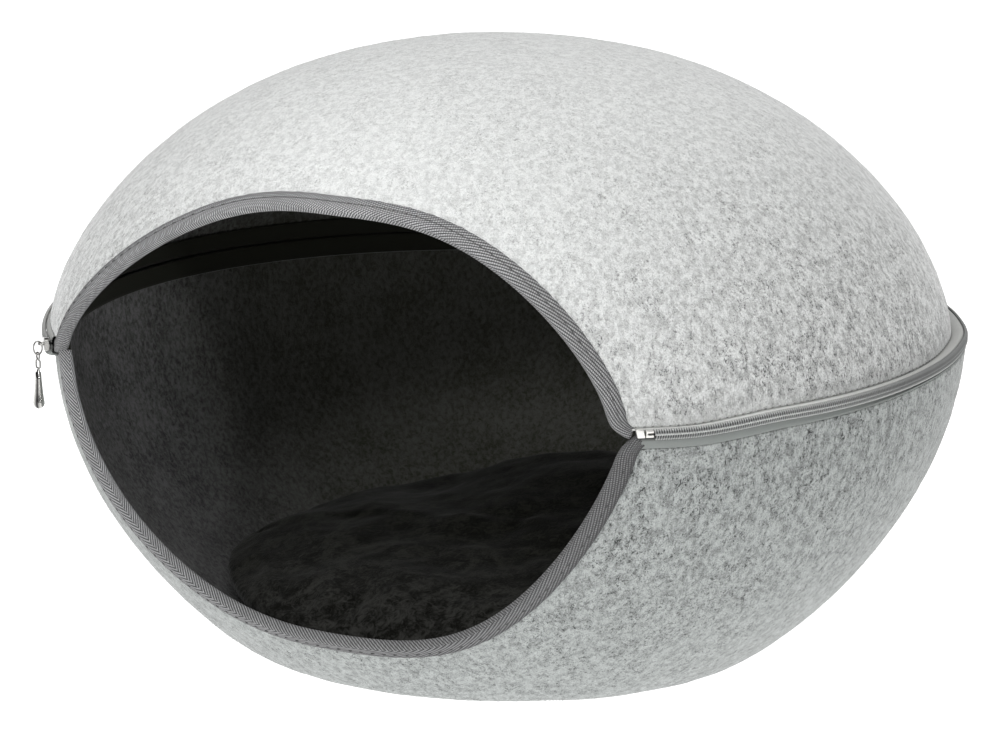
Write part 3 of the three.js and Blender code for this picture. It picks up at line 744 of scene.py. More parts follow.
def twill_material():
    """Grey herringbone tape: ribs along its outer part and back along the rest, each of small ticks"""
    nodes = Nodes("herringbone_tape")
    backward = nodes.attribute("backward")
    change = nodes.math("SUBTRACT", nodes.attribute("forward"), backward)
    outer = nodes.math("GREATER_THAN", nodes.attribute("before_turn"), 0.0)
    rib = nodes.wave(nodes.math("ADD", backward, nodes.times(change, outer)))
    tick = nodes.wave(nodes.attribute("tick"))
    gap = nodes.times(nodes.ramp(tick, -1, 0.6, 1, 0), nodes.attribute("tick_depth"))
    lit = nodes.times(nodes.ramp(rib, -1.0, 0.7), nodes.math("SUBTRACT", 1.0, gap))
    # Painted shade along the sewn groove
    from_seam = nodes.away(nodes.attribute("across"), STITCH["at"])
    groove_shade = nodes.times(nodes.ramp(from_seam, 0.1, 0.7, 1, 0), nodes.attribute("groove_shade"))
    thread = nodes.grain(0.6, 2, 0.6)
    soil = nodes.grain(9, 3, 0.6)
    # Paleness along the tape, painted light and shade: paler along the top of the mouth, darker low at the
    # right
    pale = {0: (0.34, 0.342, 0.347), "Scale": nodes.attribute("tone")}
    yarn = nodes.add("VectorMath", pale, operation="SCALE")
    colour = nodes.mix(lit, grey(0.04, 1.0, 1.03), yarn)
    colour = nodes.mix(nodes.ramp(thread, 0.4, 0.75, 0, 0.15), colour, grey(0.4))
    colour = nodes.mix(nodes.ramp(soil, 0.35, 0.7, 0, 0.2), colour, grey(0.1))
    # Painted shade along the free edge, where it lies on the felt
    colour = nodes.mix(nodes.attribute("shade"), colour, grey(0.05, 1.0, 1.03))
    colour = nodes.mix(groove_shade, colour, grey(0.04, 1.0, 1.03))
    return nodes.cloth(colour, nodes.bump(lit, 0.3, 0.8), roughness=0.8, specular=0.3, sheen=0.08)


def woven_material(name, pale, deep, rib_size):
    """Flat woven tape with cross ribs and warp threads along its own length, with painted shade under a
    coil
    """
    nodes = Nodes(name)
    across = nodes.attribute("across")
    diagonal = nodes.math("ADD", nodes.attribute("along"), nodes.times(across, 0.8))
    twill = nodes.wave(nodes.times(diagonal, 1 / rib_size), "SINE")
    warp = nodes.wave(nodes.times(across, 1 / (0.8 * rib_size)), "SINE")
    weave = nodes.math("ADD", nodes.plus(twill, 0.3, warp, 0.15), 0.5)
    thread = nodes.grain(0.5, 2, 0.6)
    soil = nodes.grain(7, 3, 0.6)
    tone = nodes.math("ADD", weave, nodes.plus(thread, 0.5, soil, 0.5))
    colour = nodes.mix(nodes.ramp(tone, 0.1, 1.0), deep, pale)
    # Painted shade under a coil, and round the right side on the upper tape
    colour = nodes.mix(nodes.attribute("under"), colour, grey(0.03))
    normal = nodes.bump(nodes.math("ADD", weave, thread), 0.16, 0.7)
    return nodes.cloth(colour, normal, roughness=0.85, specular=0.25, sheen=0.08)


def coil_material():
    """Grey nylon coil, with painted highlights along its edges and where the two rows lock"""
    nodes = Nodes("nylon_coil")
    wear = nodes.grain(0.9, 2, 0.6)
    # Painted highlights and shade across each turn
    colour = nodes.mix(nodes.attribute("pale"), grey(0.11, 1.03, 1.03), grey(0.72, 1.02, 1.0))
    colour = nodes.mix(nodes.ramp(wear, 0.4, 0.7, 0, 0.2), colour, grey(0.13))
    # Paler towards the left end of the zip
    colour = nodes.mix(nodes.attribute("paled"), colour, grey(0.42, 1.0, 0.97))
    nodes.set(
        Base_Color=colour,
        Roughness=nodes.ramp(wear, 0.2, 0.8, 0.35, 0.6),
        Normal=nodes.bump(wear, 0.05, 0.5),
    )
    return nodes.material


def metal_material(name, low, high, gloss, streak=None):
    """Plated zinc with faint casting ripples and rubbed spots, and, where a streak is given, darker along
    it as a painted reflection
    """
    nodes = Nodes(name)
    ripple = nodes.grain(2.2, 2, 0.5)
    rub = nodes.grain(0.7, 3, 0.6)
    colour = nodes.mix(nodes.ramp(rub, 0.35, 0.7), grey(low, 0.99, 0.95), grey(high, 0.99, 0.95))
    # Painted reflection: a dark band where a streak is given
    if streak:
        colour = nodes.mix(nodes.attribute(streak), colour, grey(0.02))
    nodes.set(
        Base_Color=colour,
        Metallic=1.0,
        Roughness=nodes.ramp(rub, 0.3, 0.75, gloss, gloss + 0.1),
        Normal=nodes.bump(ripple, 0.05, 0.2),
    )
    return nodes.material


def fleece_material():
    """Black brushed fleece with a tousled short pile, painted paler towards the mouth as painted light"""
    nodes = Nodes("black_fleece")
    swirl = nodes.grain(40, 3, 0.6, 2.5)
    brushed = nodes.grain(6, 3, 0.65, 2.0)
    pile = nodes.grain(1.3, 2, 0.6, 0.6)
    tone = nodes.plus(swirl, 0.5, brushed, 0.5)
    # Painted light: paler and more neutral towards the mouth, darker and warmer further in
    inside = nodes.ramp(nodes.axes()["Y"], -0.2, 0.0)
    pale = nodes.mix(inside, grey(0.042, 1.0, 0.93), grey(0.026, 1.02, 0.8))
    colour = nodes.mix(nodes.ramp(tone, 0.42, 0.62), grey(0.004, 1.03, 0.75), pale)
    colour = nodes.mix(nodes.ramp(pile, 0.45, 0.8, 0, 0.5), colour, pale)
    normal = nodes.bump(nodes.plus(brushed, 0.8, pile, 0.5), 0.9, 0.5)
    return nodes.cloth(colour, normal, roughness=0.95, specular=0.1, sheen=0.1, sheen_roughness=0.4)


def thread_material(name, value):
    """Sewing thread with a twist"""
    nodes = Nodes(name)
    twist = nodes.grain(0.4, 2, 0.6)
    colour = nodes.mix(nodes.ramp(twist, 0.3, 0.7), grey(value * 0.6), grey(value * 1.3))
    nodes.set(Base_Color=colour, Roughness=0.75, Normal=nodes.bump(twist, 0.1, 0.6))
    return nodes.material


# The bowl's felt is greener than the dome's, and darker partly as painted shade on its downward-facing
# sides
DOME_FELT = felt_material("pale_felt", grey(0.84, 1.015, 1.005), grey(0.07, 1.015, 1.005), DOME_MOTTLING)
BOWL_FELT = felt_material("grey_felt", grey(0.535, 1.05, 1.03), grey(0.055, 1.05, 1.03), BOWL_MOTTLING)
CHARCOAL = lining_material()
TWILL = twill_material()
# Both are one zip tape: the upper copy is painted paler, lit from above (painted light), and the lower copy
# darker, in the shade under the coil (painted shade); it is also greener
UPPER_TAPE = woven_material("pale_zip_tape", grey(0.68, 1.01, 0.98), grey(0.5, 1.01, 0.98), 0.9)
LOWER_TAPE = woven_material("grey_zip_tape", grey(0.27, 1.07, 1.03), grey(0.165, 1.07, 1.03), 0.9)
BLACK_TAPE = woven_material("black_tape", grey(0.03, 1.03, 0.75), grey(0.013, 1.03, 0.75), 1.2)
COIL = coil_material()
# One plated metal in three copies: the slider, ring and link are painted darker, as painted reflection of
# dark surroundings; the drop carries a painted dark reflection; the box and pin are painted paler where
# they face the lamps, as painted light
PULL_METAL = metal_material("reflection_darkened_metal", 0.28, 0.42, 0.1)
DROP_METAL = metal_material("painted_reflection_metal", 0.5, 0.75, 0.12, "streak")
END_METAL = metal_material("lamp_lit_metal", 0.8, 0.92, 0.3)
FLEECE = fleece_material()
GREY_THREAD = thread_material("grey_thread", 0.07)
# Thread of the dome's edge stitches, darker than the felt as painted shade of their sunk pits
STITCH_SHADE_THREAD = thread_material("stitch_shade_thread", 0.2)


def mouth_turns(count):
    """Turns across the mouth, closer together near its corners"""
    share = np.sin(np.linspace(-np.pi / 2, np.pi / 2, count))
    return share * np.where(share < 0, MOUTH_LEFT, MOUTH_RIGHT)


def felt_layer(name, half, outer, inner, grid, lumps, material):
    """Closed layer of felt between two depths under a half's face"""
    mouth_columns, back_columns, rows = grid
    back = np.linspace(MOUTH_RIGHT, 360 - MOUTH_LEFT, back_columns + 2)[1:-1]
    turns = np.concatenate([mouth_turns(mouth_columns), back])[:, None]
    edge = half.climb(turns, edge_up(half, turns))
    climbs = edge + (half.end - edge) * np.linspace(0, 1, FELT_STEPS + 1)
    lengths = path_lengths(half.point(turns, climbs))
    beyond = HEM[-1] + (lengths[:, -1:] - HEM[-1]) * np.linspace(0, LAST_ROW, rows)[1:]
    places = np.concatenate([np.repeat(HEM[None], len(turns), axis=0), beyond], axis=1)
    spots = np.stack([np.interp(*column) for column in zip(places, lengths, climbs)])
    face = half.point(turns, spots)
    normal = face_normal(half, turns, spots)
    radius = min(EDGE_ROUND, (inner - outer) / 2)
    inset = radius - np.sqrt(radius**2 - np.clip(radius - places, 0, radius) ** 2)
    lift = lumpy(face, lumps).reshape(places.shape) * np.clip(places / PLAIN_HEM, 0, 1)
    top = face + normal * (lift - outer - inset)[..., None]
    top[..., 2] = np.maximum(top[..., 2], 0)
    under = face + normal * (lift * UNDER_LUMPS - inner + inset)[..., None]
    middle = half.point(np.array([0.0]), np.array([float(half.end)]))
    tips = [middle - np.array([0, 0, half.side * depth]) for depth in (outer, inner)]
    points = np.concatenate([top.reshape(-1, 3), under.reshape(-1, 3), *tips])
    piece = make_piece(name, points, layer_faces(*places.shape), material)
    # Nearness to the cut edge, where the dome's felt is painted paler against the shade under the zip's
    # ledge
    rim = np.clip(1 - places.ravel() / RIM, 0, 1)
    store(piece, "rim", np.concatenate([rim, rim, np.zeros(2)]))
    return piece


def layer_faces(count, depth):
    """Faces of two round grids joined along their first rows, each closed by a point at its middle"""
    size = count * depth
    faces = grid_faces(count, depth, 0, closed_rows=True)
    faces += grid_faces(count, depth, size, closed_rows=True)
    here = np.arange(count) * depth
    after = np.roll(here, -1)
    for start, tip in ((0, 2 * size), (size, 2 * size + 1)):
        last = start + depth - 1
        faces += np.stack([here + last, after + last, np.full(count, tip)], axis=-1).tolist()
    faces += np.stack([here, after, size + after, size + here], axis=-1).tolist()
    return faces


def face_spots(piece, count, chance):
    """Random places on the outer face of a felt layer, with the outward direction and one along the face"""
    sides = piece.data.polygons
    middles = np.zeros(len(sides) * 3)
    normals = np.zeros(len(sides) * 3)
    areas = np.zeros(len(sides))
    sides.foreach_get("center", middles)
    sides.foreach_get("normal", normals)
    sides.foreach_get("area", areas)
    middles = middles.reshape(-1, 3) / MM
    normals = normals.reshape(-1, 3)
    outward = np.sum(normals * (middles - np.array([LEAN[0], LEAN[1], ZIP_HEIGHT])), axis=1) > 0
    likely = areas * outward * (middles[:, 2] > FUZZ["lowest"])
    chosen = chance.choice(len(sides), count, p=likely / likely.sum())
    normal = normals[chosen]
    along = unit(np.cross(normal, chance.normal(size=(count, 3))))
    other = np.cross(normal, along)
    spread = np.sqrt(areas[chosen])[:, None] / MM * FUZZ["spread"]
    shift = along * chance.uniform(-1, 1, (count, 1)) + other * chance.uniform(-1, 1, (count, 1))
    return middles[chosen] + shift * spread, normal, along


def fuzz(name, piece, seed):
    """Loose fibre ends that stand out of the felt, each a thin spike"""
    count = FUZZ["count"]
    chance = np.random.default_rng(seed)
    root, normal, along = face_spots(piece, count, chance)
    rise = np.radians(chance.uniform(*FUZZ_RISE, (count, 1)))
    reach = chance.uniform(FUZZ["short"], FUZZ["long"], (count, 1))
    tip = root + (along * np.cos(rise) + normal * np.sin(rise)) * reach
    foot = root - normal * FUZZ["sunk"]
    side = np.cross(normal, along) * FUZZ["radius"]
    back = along * FUZZ["radius"] * 1.5 + normal * 0.1
    points = np.stack([foot + side, foot - side, foot + back, tip], axis=1)
    pattern = np.array([(0, 1, 3), (1, 2, 3), (2, 0, 3), (0, 2, 1)])
    faces = (np.arange(count)[:, None, None] * 4 + pattern).reshape(-1, 3).tolist()
    return make_piece(name, points, faces, piece.data.materials[0])


def binding_outline():
    """Section of the folded tape: x is out from the felt's face and y is past the cut edge"""
    outer = GAP
    inner = -WALL - GAP
    middle = (outer + inner) / 2
    half = (outer - inner) / 2 + BINDING + BINDING_PUFF
    crown = GAP + BINDING + BINDING_CROWN
    corners = [
        (outer + BINDING * 0.7, -BINDING_LEG),
        (outer + BINDING, -BINDING_LEG * 0.86),
        (middle + half * 0.88, -BINDING_LEG * 0.62),
        (middle + half * BINDING_FLANK, -BINDING_LEG * 0.4),
    ]
    for angle in (0, 25, 50, 70, 90, 110, 130, 155, 180):
        across = np.cos(np.radians(angle))
        x = middle + half * np.sign(across) * np.abs(across) ** BINDING_ROUND
        corners.append((x, crown * np.sin(np.radians(angle))))
    corners.append((middle - half * BINDING_FLANK, -BINDING_LEG / 2))
    corners.append((inner - BINDING - BINDING_SLACK * 0.9, -BINDING_LEG))
    curve = spline(np.array(corners), OUTLINE_POINTS)
    lengths = path_lengths(curve)
    fine = even_places(lengths, BINDING_FINE)
    curve = at_places(fine, lengths, curve)
    across = np.linspace(0, fine[-1], BINDING_POINTS)
    face = at_places(across, fine, curve)
    hidden = [(inner - BINDING_SLACK, -BINDING_LEG), (inner, GAP), (outer, GAP), (outer, -BINDING_LEG)]
    return face, across, np.array(hidden)


def binding_path(half):
    """Line of a mouth's cut edge with its outward directions, from one tucked end to the other"""
    left = half.lip["left"]
    right = half.lip["right"]
    turns = mouth_turns(EDGE_POINTS)
    ups = edge_up(half, turns)
    turns = np.concatenate([[-MOUTH_LEFT - left["tuck"]], turns, [MOUTH_RIGHT + right["tuck"]]])
    ups = np.concatenate([[left["tuck_up"]], ups, [right["tuck_up"]]])
    climbs = half.climb(turns, ups)
    both = np.concatenate([half.point(turns, climbs), face_normal(half, turns, climbs)], axis=1)
    lengths = path_lengths(both[:, :3])
    places = even_places(lengths, BINDING_STEP)
    both = at_places(places, lengths, both)
    near_end = fade(1 - np.minimum(places, places[-1] - places) / BINDING_EASE)[:, None]
    run = eased(both, BINDING_WINDOWS["run"])
    both = run * (1 - near_end) + eased(both, BINDING_WINDOWS["end"]) * near_end
    points = both[:, :3]
    from_left = fade(1 - places / BINDING_TAPER)
    from_right = fade(1 - (places[-1] - places) / BINDING_TAPER)
    points[:, 2] -= left["drop"] * from_left + right["drop"] * from_right
    along = unit(eased(np.gradient(points, axis=0), BINDING_WINDOWS["turn"]))
    normal = unit(eased(both[:, 3:], BINDING_WINDOWS["turn"]))
    past = unit(np.cross(along, normal) * half.side)
    return points, normal, past, places


def along_tape(values, share):
    """Value at a share of a tape's length, from values spread evenly from its left end to its right end"""
    return np.interp(share, np.linspace(0, 1, len(values)), values)


def rib_counts(along, spacing):
    """Ribs up to each row of points"""
    steps = np.diff(along[:, 0]) / spacing[1:, 0]
    return np.concatenate([[0], np.cumsum(steps)])[:, None]


def rib_phases(along, across, weave):
    """Counts of ribs and of returning ribs up to each point, and the width left to where they turn"""
    share = along / along[-1:]
    lean = along_tape(weave["lean"], share)
    back = along_tape(weave["back"], share)
    turn = along_tape(weave["turn"], share)
    spread = along_tape(weave["rib"], share) * np.sqrt(1 + lean**2)
    short = along_tape(weave["return"], share) * np.sqrt(1 + back**2)
    bent = across + np.clip(BINDING_LEG - across, 0, None) * (1 - along_tape(weave["leg"], share))
    forward = rib_counts(along, spread) - lean * (turn - bent) / spread
    backward = rib_counts(along, short) - back * (across - turn) / short
    return forward, backward, turn - across


def end_shares(half, places):
    """Shares of the binding's leg and of its fold that are left near its two ends"""
    left = 1 - fade(places / BINDING_TAPER)[:, None]
    right = 1 - fade((places[-1] - places) / BINDING_TAPER)[:, None]
    left_ends = np.array(half.lip["left"]["ends"])
    right_ends = np.array(half.lip["right"]["ends"])
    return 1 - left * (1 - left_ends) - right * (1 - right_ends)


def binding_rings(half, weave, face, across, hidden):
    """Sections of the folded tape along the mouth, with the length along at each"""
    points, normal, past, places = binding_path(half)
    share = places / places[-1]
    ends = end_shares(half, places)
    leg = ends[:, :1] * along_tape(weave["reach"], share)[:, None]
    fold = ends[:, 1:] * np.interp(share, *BINDING_FOLD_SHARES)[:, None]
    apart = np.full_like(places, BINDING_WAVER["shift"] * half.side)
    wave = soft_noise(np.stack([places, apart, 0 * places], axis=-1), BINDING_WAVER["length"], 0)[:, None]
    outer = np.where(face[:, 1] < 0, face[:, 1] * leg, face[:, 1] * fold)
    outer = outer + BINDING_WAVER["depth"] * wave * np.clip(1 - across / BINDING_WAVER["width"], 0, 1)
    inner = np.where(hidden[:, 1] < 0, hidden[:, 1] * leg, hidden[:, 1])
    out = np.concatenate([face[:, 0], hidden[:, 0]])
    beyond = np.concatenate([outer, inner], axis=1)
    return points[:, None] + normal[:, None] * out[:, None] + past[:, None] * beyond[..., None], places


def binding(name, half, weave):
    """Tape folded over the mouth's edge of one half"""
    face, across, hidden = binding_outline()
    ring, places = binding_rings(half, weave, face, across, hidden)
    count, size = ring.shape[:2]
    piece = make_piece(name, ring, tube_faces(count, size), TWILL)
    along = np.repeat(places[:, None], len(across), axis=1)
    wide = np.repeat(across[None], count, axis=0)
    share = along / along[-1:]
    forward, backward, before_turn = rib_phases(along, wide, weave)
    dark, dark_fade = BINDING_DARK
    values = {
        "across": wide,
        "tick": (along + along_tape(weave["slant"], share) * wide) / TICK_PITCH,
        "tick_depth": along_tape(weave["tick"], share),
        # Painted shade in the sewn groove
        "groove_shade": along_tape(weave["groove_shade"], share),
        # Paleness along the tape, which is painted light and shade
        "tone": along_tape(weave["tone"], share),
        "forward": forward,
        "backward": backward,
        "before_turn": before_turn,
        # Painted shade along the free edge
        "shade": (1 - fade((wide - dark) / dark_fade)) * along_tape(weave["edge"], share),
    }
    unused = np.zeros((count, size - len(across)))
    for key, value in values.items():
        store(piece, key, np.concatenate([value, unused], axis=1))
    return piece


def dashes(name, line, out, stitch, material):
    """Row of sewn stitches that lie along a line, each a short thread sunk at both ends"""
    points = []
    faces = []
    lengths = path_lengths(line)
    rise = stitch["radius"] * STITCH_RISE[:, None]
    thick = stitch["radius"] * STITCH_THICK[:, None, None]
    size = STITCH_STEPS * STITCH_SIDES
    for start in np.arange(stitch["pitch"] / 2, lengths[-1] - stitch["pitch"], stitch["pitch"]):
        places = start + np.linspace(0, stitch["length"], STITCH_STEPS)
        lift = at_places(places, lengths, out)
        middle = at_places(places, lengths, line) + lift * rise
        width = unit(np.cross(np.gradient(middle, axis=0), lift))
        faces += tube_faces(STITCH_STEPS, STITCH_SIDES, len(points) * size)
        points.append(middle[:, None] + rings(width, lift, STITCH_SIDES) * thick)
    return make_piece(name, np.array(points), faces, material)


def binding_stitches(name, half):
    """Sewn line along the binding's outer leg"""
    points, normal, past, places = binding_path(half)
    face, across = binding_outline()[:2]
    x, y = at_places(STITCH["at"], across, face)
    line = points + normal * x + past * y * end_shares(half, places)[:, :1]
    keep = np.minimum(places, places[-1] - places) > STITCH["bare"]
    return dashes(name, line[keep], normal[keep], STITCH, GREY_THREAD)


def ribbon(name, middle, thickness, material):
    """Closed strip of woven tape on a grid of points along and across it"""
    along = np.gradient(middle, axis=0)
    across = np.gradient(middle, axis=1)
    normal = unit(np.cross(along, across))
    count, width = middle.shape[:2]
    points = np.concatenate([middle + normal * thickness / 2, middle - normal * thickness / 2])
    faces = grid_faces(count, width)
    faces += grid_faces(count, width, count * width)
    for column in (0, width - 1):
        top = np.arange(count - 1) * width + column
        wall = [top, top + width, count * width + top + width, count * width + top]
        faces += np.stack(wall, axis=-1).tolist()
    for row in (0, count - 1):
        top = row * width + np.arange(width - 1)
        wall = [top, top + 1, count * width + top + 1, count * width + top]
        faces += np.stack(wall, axis=-1).tolist()
    piece = make_piece(name, points, faces, material)
    lengths = np.cumsum(np.linalg.norm(along, axis=2), axis=0)
    widths = np.cumsum(np.linalg.norm(across, axis=2), axis=1)
    store(piece, "along", np.concatenate([lengths, lengths]))
    store(piece, "across", np.concatenate([widths, widths]))
    return piece


def zip_turns(ends, count):
    return np.linspace(right_turn(ends["right"]), left_turn(ends["left"]), count)


def zip_tape(name, half, material):
    """Zip tape sewn behind the felt, out under its cut edge and on to the coil"""
    turns = zip_turns(UPPER_TAPE_ENDS if half is DOME else ZIP_TAPE_ENDS, ZIP_ROWS["tape"])
    edge = edge_up(half, turns)
    front = METAL_SEAT - ZIP_TAPE
    rows = [felt_point(half, turns, out, edge + up) for out, up in TAPE_WAY]
    rows += [zip_point(half, turns, front, up) for up in (max(half.seam / 2, COIL_REACH), GAP)]
    if half is BOWL:
        bulge = bell(turns, TAPE_BULGE["at"], TAPE_BULGE["spread"])
        for row, share in BULGE_SHARES.items():
            rows[row] = rows[row] + zip_outward(turns) * (TAPE_BULGE["out"] * share * bulge)[:, None]
            rows[row][:, 2] -= TAPE_BULGE["down"] * share * bulge
    middle = np.swapaxes(spline(np.stack(rows), TAPE_COLUMNS), 0, 1)
    piece = ribbon(name, middle, ZIP_TAPE, material)
    # Painted shade on the tape where it runs under the coil, less where the coil is made paler
    column = np.linspace(0, len(rows) - 1, TAPE_COLUMNS)
    under = np.clip(column - len(rows) + 2, 0, 0.5) * 2 * (1 - coil_paling(turns))[:, None]
    # Painted shade on the upper tape as it goes round the right side
    if half is DOME:
        under = np.maximum(under, ZIP_PAINTED_SHADE["tape"] * right_painted_shade(turns)[:, None])
    store(piece, "under", np.concatenate([under, under]))
    return piece


def right_painted_shade(turn):
    """Share of the zip's painted shade at a turn past its right end"""
    return fade((turn - ZIP_PAINTED_SHADE["from"]) / (ZIP_PAINTED_SHADE["to"] - ZIP_PAINTED_SHADE["from"]))


def coil_paling(turn):
    """How far the coil is made paler, and the painted shade on the tape under it lessened"""
    return COIL_PALING * bell(turn, COIL_PALE_AT, COIL_PALE_SPREAD)


def facing(name, half):
    """Black tape over the zip's seam, inside"""
    turns = zip_turns(ZIP_TAPE_ENDS, ZIP_ROWS["facing"])
    out = -WALL - ZIP_TAPE - 2 * GAP - FACING / 2
    ups = np.linspace(FACING_WIDTH, FACING_EDGE, FACING_COLUMNS)
    rows = [felt_point(half, turns, out, up) for up in ups]
    return ribbon(name, np.stack(rows, axis=1), FACING, BLACK_TAPE)


def zip_coil(name, half):
    """One row of the zip's coil, turn by turn"""
    turns = zip_turns(COIL_ENDS, ZIP_ROWS["coil"])
    lengths = path_lengths(zip_line(turns))
    first = COIL_PITCH / 2 if half is DOME else COIL_PITCH
    places = np.interp(np.arange(first, lengths[-1], COIL_PITCH), lengths, turns)
    out = zip_outward(places)
    along = np.cross(np.array([0.0, 0.0, 1.0]), out)
    up = np.broadcast_to(np.array([0.0, 0.0, half.side]), along.shape)
    bends = COIL_TURN[:, :3]
    way = unit(np.gradient(bends, axis=0))
    across = unit(np.cross(way, np.array([1.0, 0.0, 0.0])))
    tube = bends[:, None] + rings(across, np.cross(across, way), COIL_SIDES) * COIL_TURN[:, None, 3:4]
    basis = np.stack([along, up, out], axis=1)
    points = zip_line(places)[:, None, None] + np.einsum("rsk,ikj->irsj", tube, basis)
    rows = len(bends)
    size = rows * COIL_SIDES
    faces = []
    for turn in range(len(places)):
        faces += tube_faces(rows, COIL_SIDES, turn * size)
    piece = make_piece(name, points, faces, COIL)
    # Painted shade round the right side, on the upper coil and on the lower coil's rows by the lock
    shaded = (bends[:, 1] < COIL_REACH / 2) | (half is DOME)
    pale = COIL_TURN[:, 4] * (1 - ZIP_PAINTED_SHADE["coil"] * shaded * right_painted_shade(places)[:, None])
    store(piece, "pale", np.repeat(pale, COIL_SIDES, axis=1))
    store(piece, "paled", np.repeat(coil_paling(places), size))
    return piece


def on_zip(points, turn):
    """Points of a fitting, with X along the zip, Y up and Z out, placed on the zip"""
    out = zip_outward(np.array(turn))
    up = np.array([0.0, 0.0, 1.0])
    return np.asarray(points, float) @ np.stack([np.cross(up, out), up, out]) + zip_line(np.array(turn))


def wire(path, radius, sides, closed):
    """Rings of points along the path of a round wire that lies in one plane"""
    if closed:
        ahead = np.roll(path, -1, axis=0) - np.roll(path, 1, axis=0)
    else:
        ahead = np.gradient(path, axis=0)
    centre = path.mean(axis=0)
    plane = unit(np.cross(path[0] - centre, path[len(path) // 3] - centre))
    plane = np.broadcast_to(plane, path.shape)
    across = unit(np.cross(unit(ahead), plane))
    return path[:, None] + rings(across, plane, sides) * radius


def wire_loop(name, points):
    """Closed wire of the pull, hung on the slider"""
    faces = grid_faces(*points.shape[:2], closed_rows=True, closed_columns=True)
    return make_piece(name, on_zip(points, left_turn(SLIDER["at"])), faces, PULL_METAL)


def plate(name, outline, height, turn, material):
    """Metal plate of an outline, seated on the zip, with its edges rounded"""
    levels = (METAL_SEAT, METAL_SEAT + height)
    points = [(along, up, level) for level in levels for along, up in outline]
    piece = make_piece(name, on_zip(points, turn), tube_faces(2, len(outline)), material)
    bevel = piece.modifiers.new("edges", "BEVEL")
    bevel.width = METAL_ROUND * MM
    bevel.segments = 4
    return piece


def zip_box():
    """Box at the start of the zip, which leans back"""
    half = ZIP_BOX["along"] / 2
    lean = ZIP_BOX["lean"]
    bottom = ZIP_BOX["lift"] - ZIP_BOX["up"] / 2
    top = ZIP_BOX["lift"] + ZIP_BOX["up"] / 2
    outline = [(-half + lean, bottom), (half + lean, bottom), (half - lean, top), (-half - lean, top)]
    return plate("box_block", outline, ZIP_BOX["out"], right_turn(ZIP_BOX["at"]), END_METAL)


def zip_pin():
    """Forked pin beside the box"""
    half = ZIP_PIN["along"] / 2
    root = ZIP_PIN["root"] - half
    tall = ZIP_PIN["up"] / 2
    slot = ZIP_PIN["slot"] / 2
    lower = [(-half, -tall), (half, -tall), (half, -slot), (root, -slot)]
    upper = [(along, -up) for along, up in reversed(lower)]
    outline = [(along, ZIP_PIN["lift"] + up) for along, up in lower + upper]
    return plate("pin_block", outline, ZIP_PIN["out"], right_turn(ZIP_PIN["at"]), END_METAL)


def pull_ring():
    """Oval wire ring through the slider's bridge"""
    angles = np.linspace(0, 2 * np.pi, RING_ROWS, endpoint=False)
    up = RING["up"] + RING["height"] / 2 * np.sin(angles)
    out = RING["out"] + RING["width"] / 2 * np.cos(angles)
    path = np.stack([0 * angles, up, out], axis=-1)
    return wire_loop("ring_wire", wire(path, RING["wire"] / 2, WIRE_SIDES, True))


def twisted(points):
    """Turns a hanging piece round its own upright line in the ring"""
    angle = np.radians(90 - LINK["twist"])
    x = points[..., 0] * np.cos(angle) + points[..., 2] * np.sin(angle)
    z = points[..., 2] * np.cos(angle) - points[..., 0] * np.sin(angle)
    return np.stack([x, points[..., 1], z + RING["out"]], axis=-1)


def pull_link():
    """Wire link with a narrow upper loop and a squarish lower one"""
    wide = np.array(LINK_WIDE) * LINK["width"] / 2
    high = (np.array(LINK_HIGH) - 1) * LINK["height"]
    right = spline(np.stack([wide, high], axis=-1), LINK_ROWS)
    left = right[-2:0:-1] * np.array([-1, 1])
    across, up = np.concatenate([right, left]).T
    path = np.stack([across, up + LINK["top"], 0 * across], axis=-1)
    return wire_loop("link_wire", twisted(wire(path, LINK["wire"] / 2, WIRE_SIDES, True)))


def drop_profile():
    """Radius and height of the drop's rings, from its bottom to its top"""
    bottom = DROP["bottom"]
    length = DROP["length"]
    angles = np.radians(np.arange(10, 90, 10))
    ball = np.stack([bottom * np.sin(angles), bottom * (1 - np.cos(angles))], axis=-1)
    side = np.array([(bottom, bottom)] + [(radius, share * length) for share, radius in DROP_SIDE])
    neck = spline(side[:3], NECK_ROWS)
    return np.concatenate([[(DROP["tip"], 0)], ball, neck, side[3:], [(DROP["tip"], length)]])


def pull_drop():
    """Drop-shaped pull, turned round its length and pressed flatter"""
    angles = np.linspace(0, 2 * np.pi, DROP_SIDES, endpoint=False)
    radius, height = drop_profile().T[..., None]
    height = height + LINK["top"] - LINK["height"] - GAP - DROP["length"]
    across = radius * np.cos(angles)
    out = DROP["flat"] * radius * np.sin(angles)
    points = twisted(np.stack([across, height + 0 * angles, out], axis=-1))
    faces = tube_faces(len(radius), DROP_SIDES)
    piece = make_piece("drop_pull", on_zip(points, left_turn(SLIDER["at"])), faces, DROP_METAL)
    # Painted reflection: a dark band down the drop
    streak = bell(np.degrees(angles) - DROP["streak"], 0, DROP["streak_spread"])
    store(piece, "streak", np.tile(streak, len(radius)))
    return piece


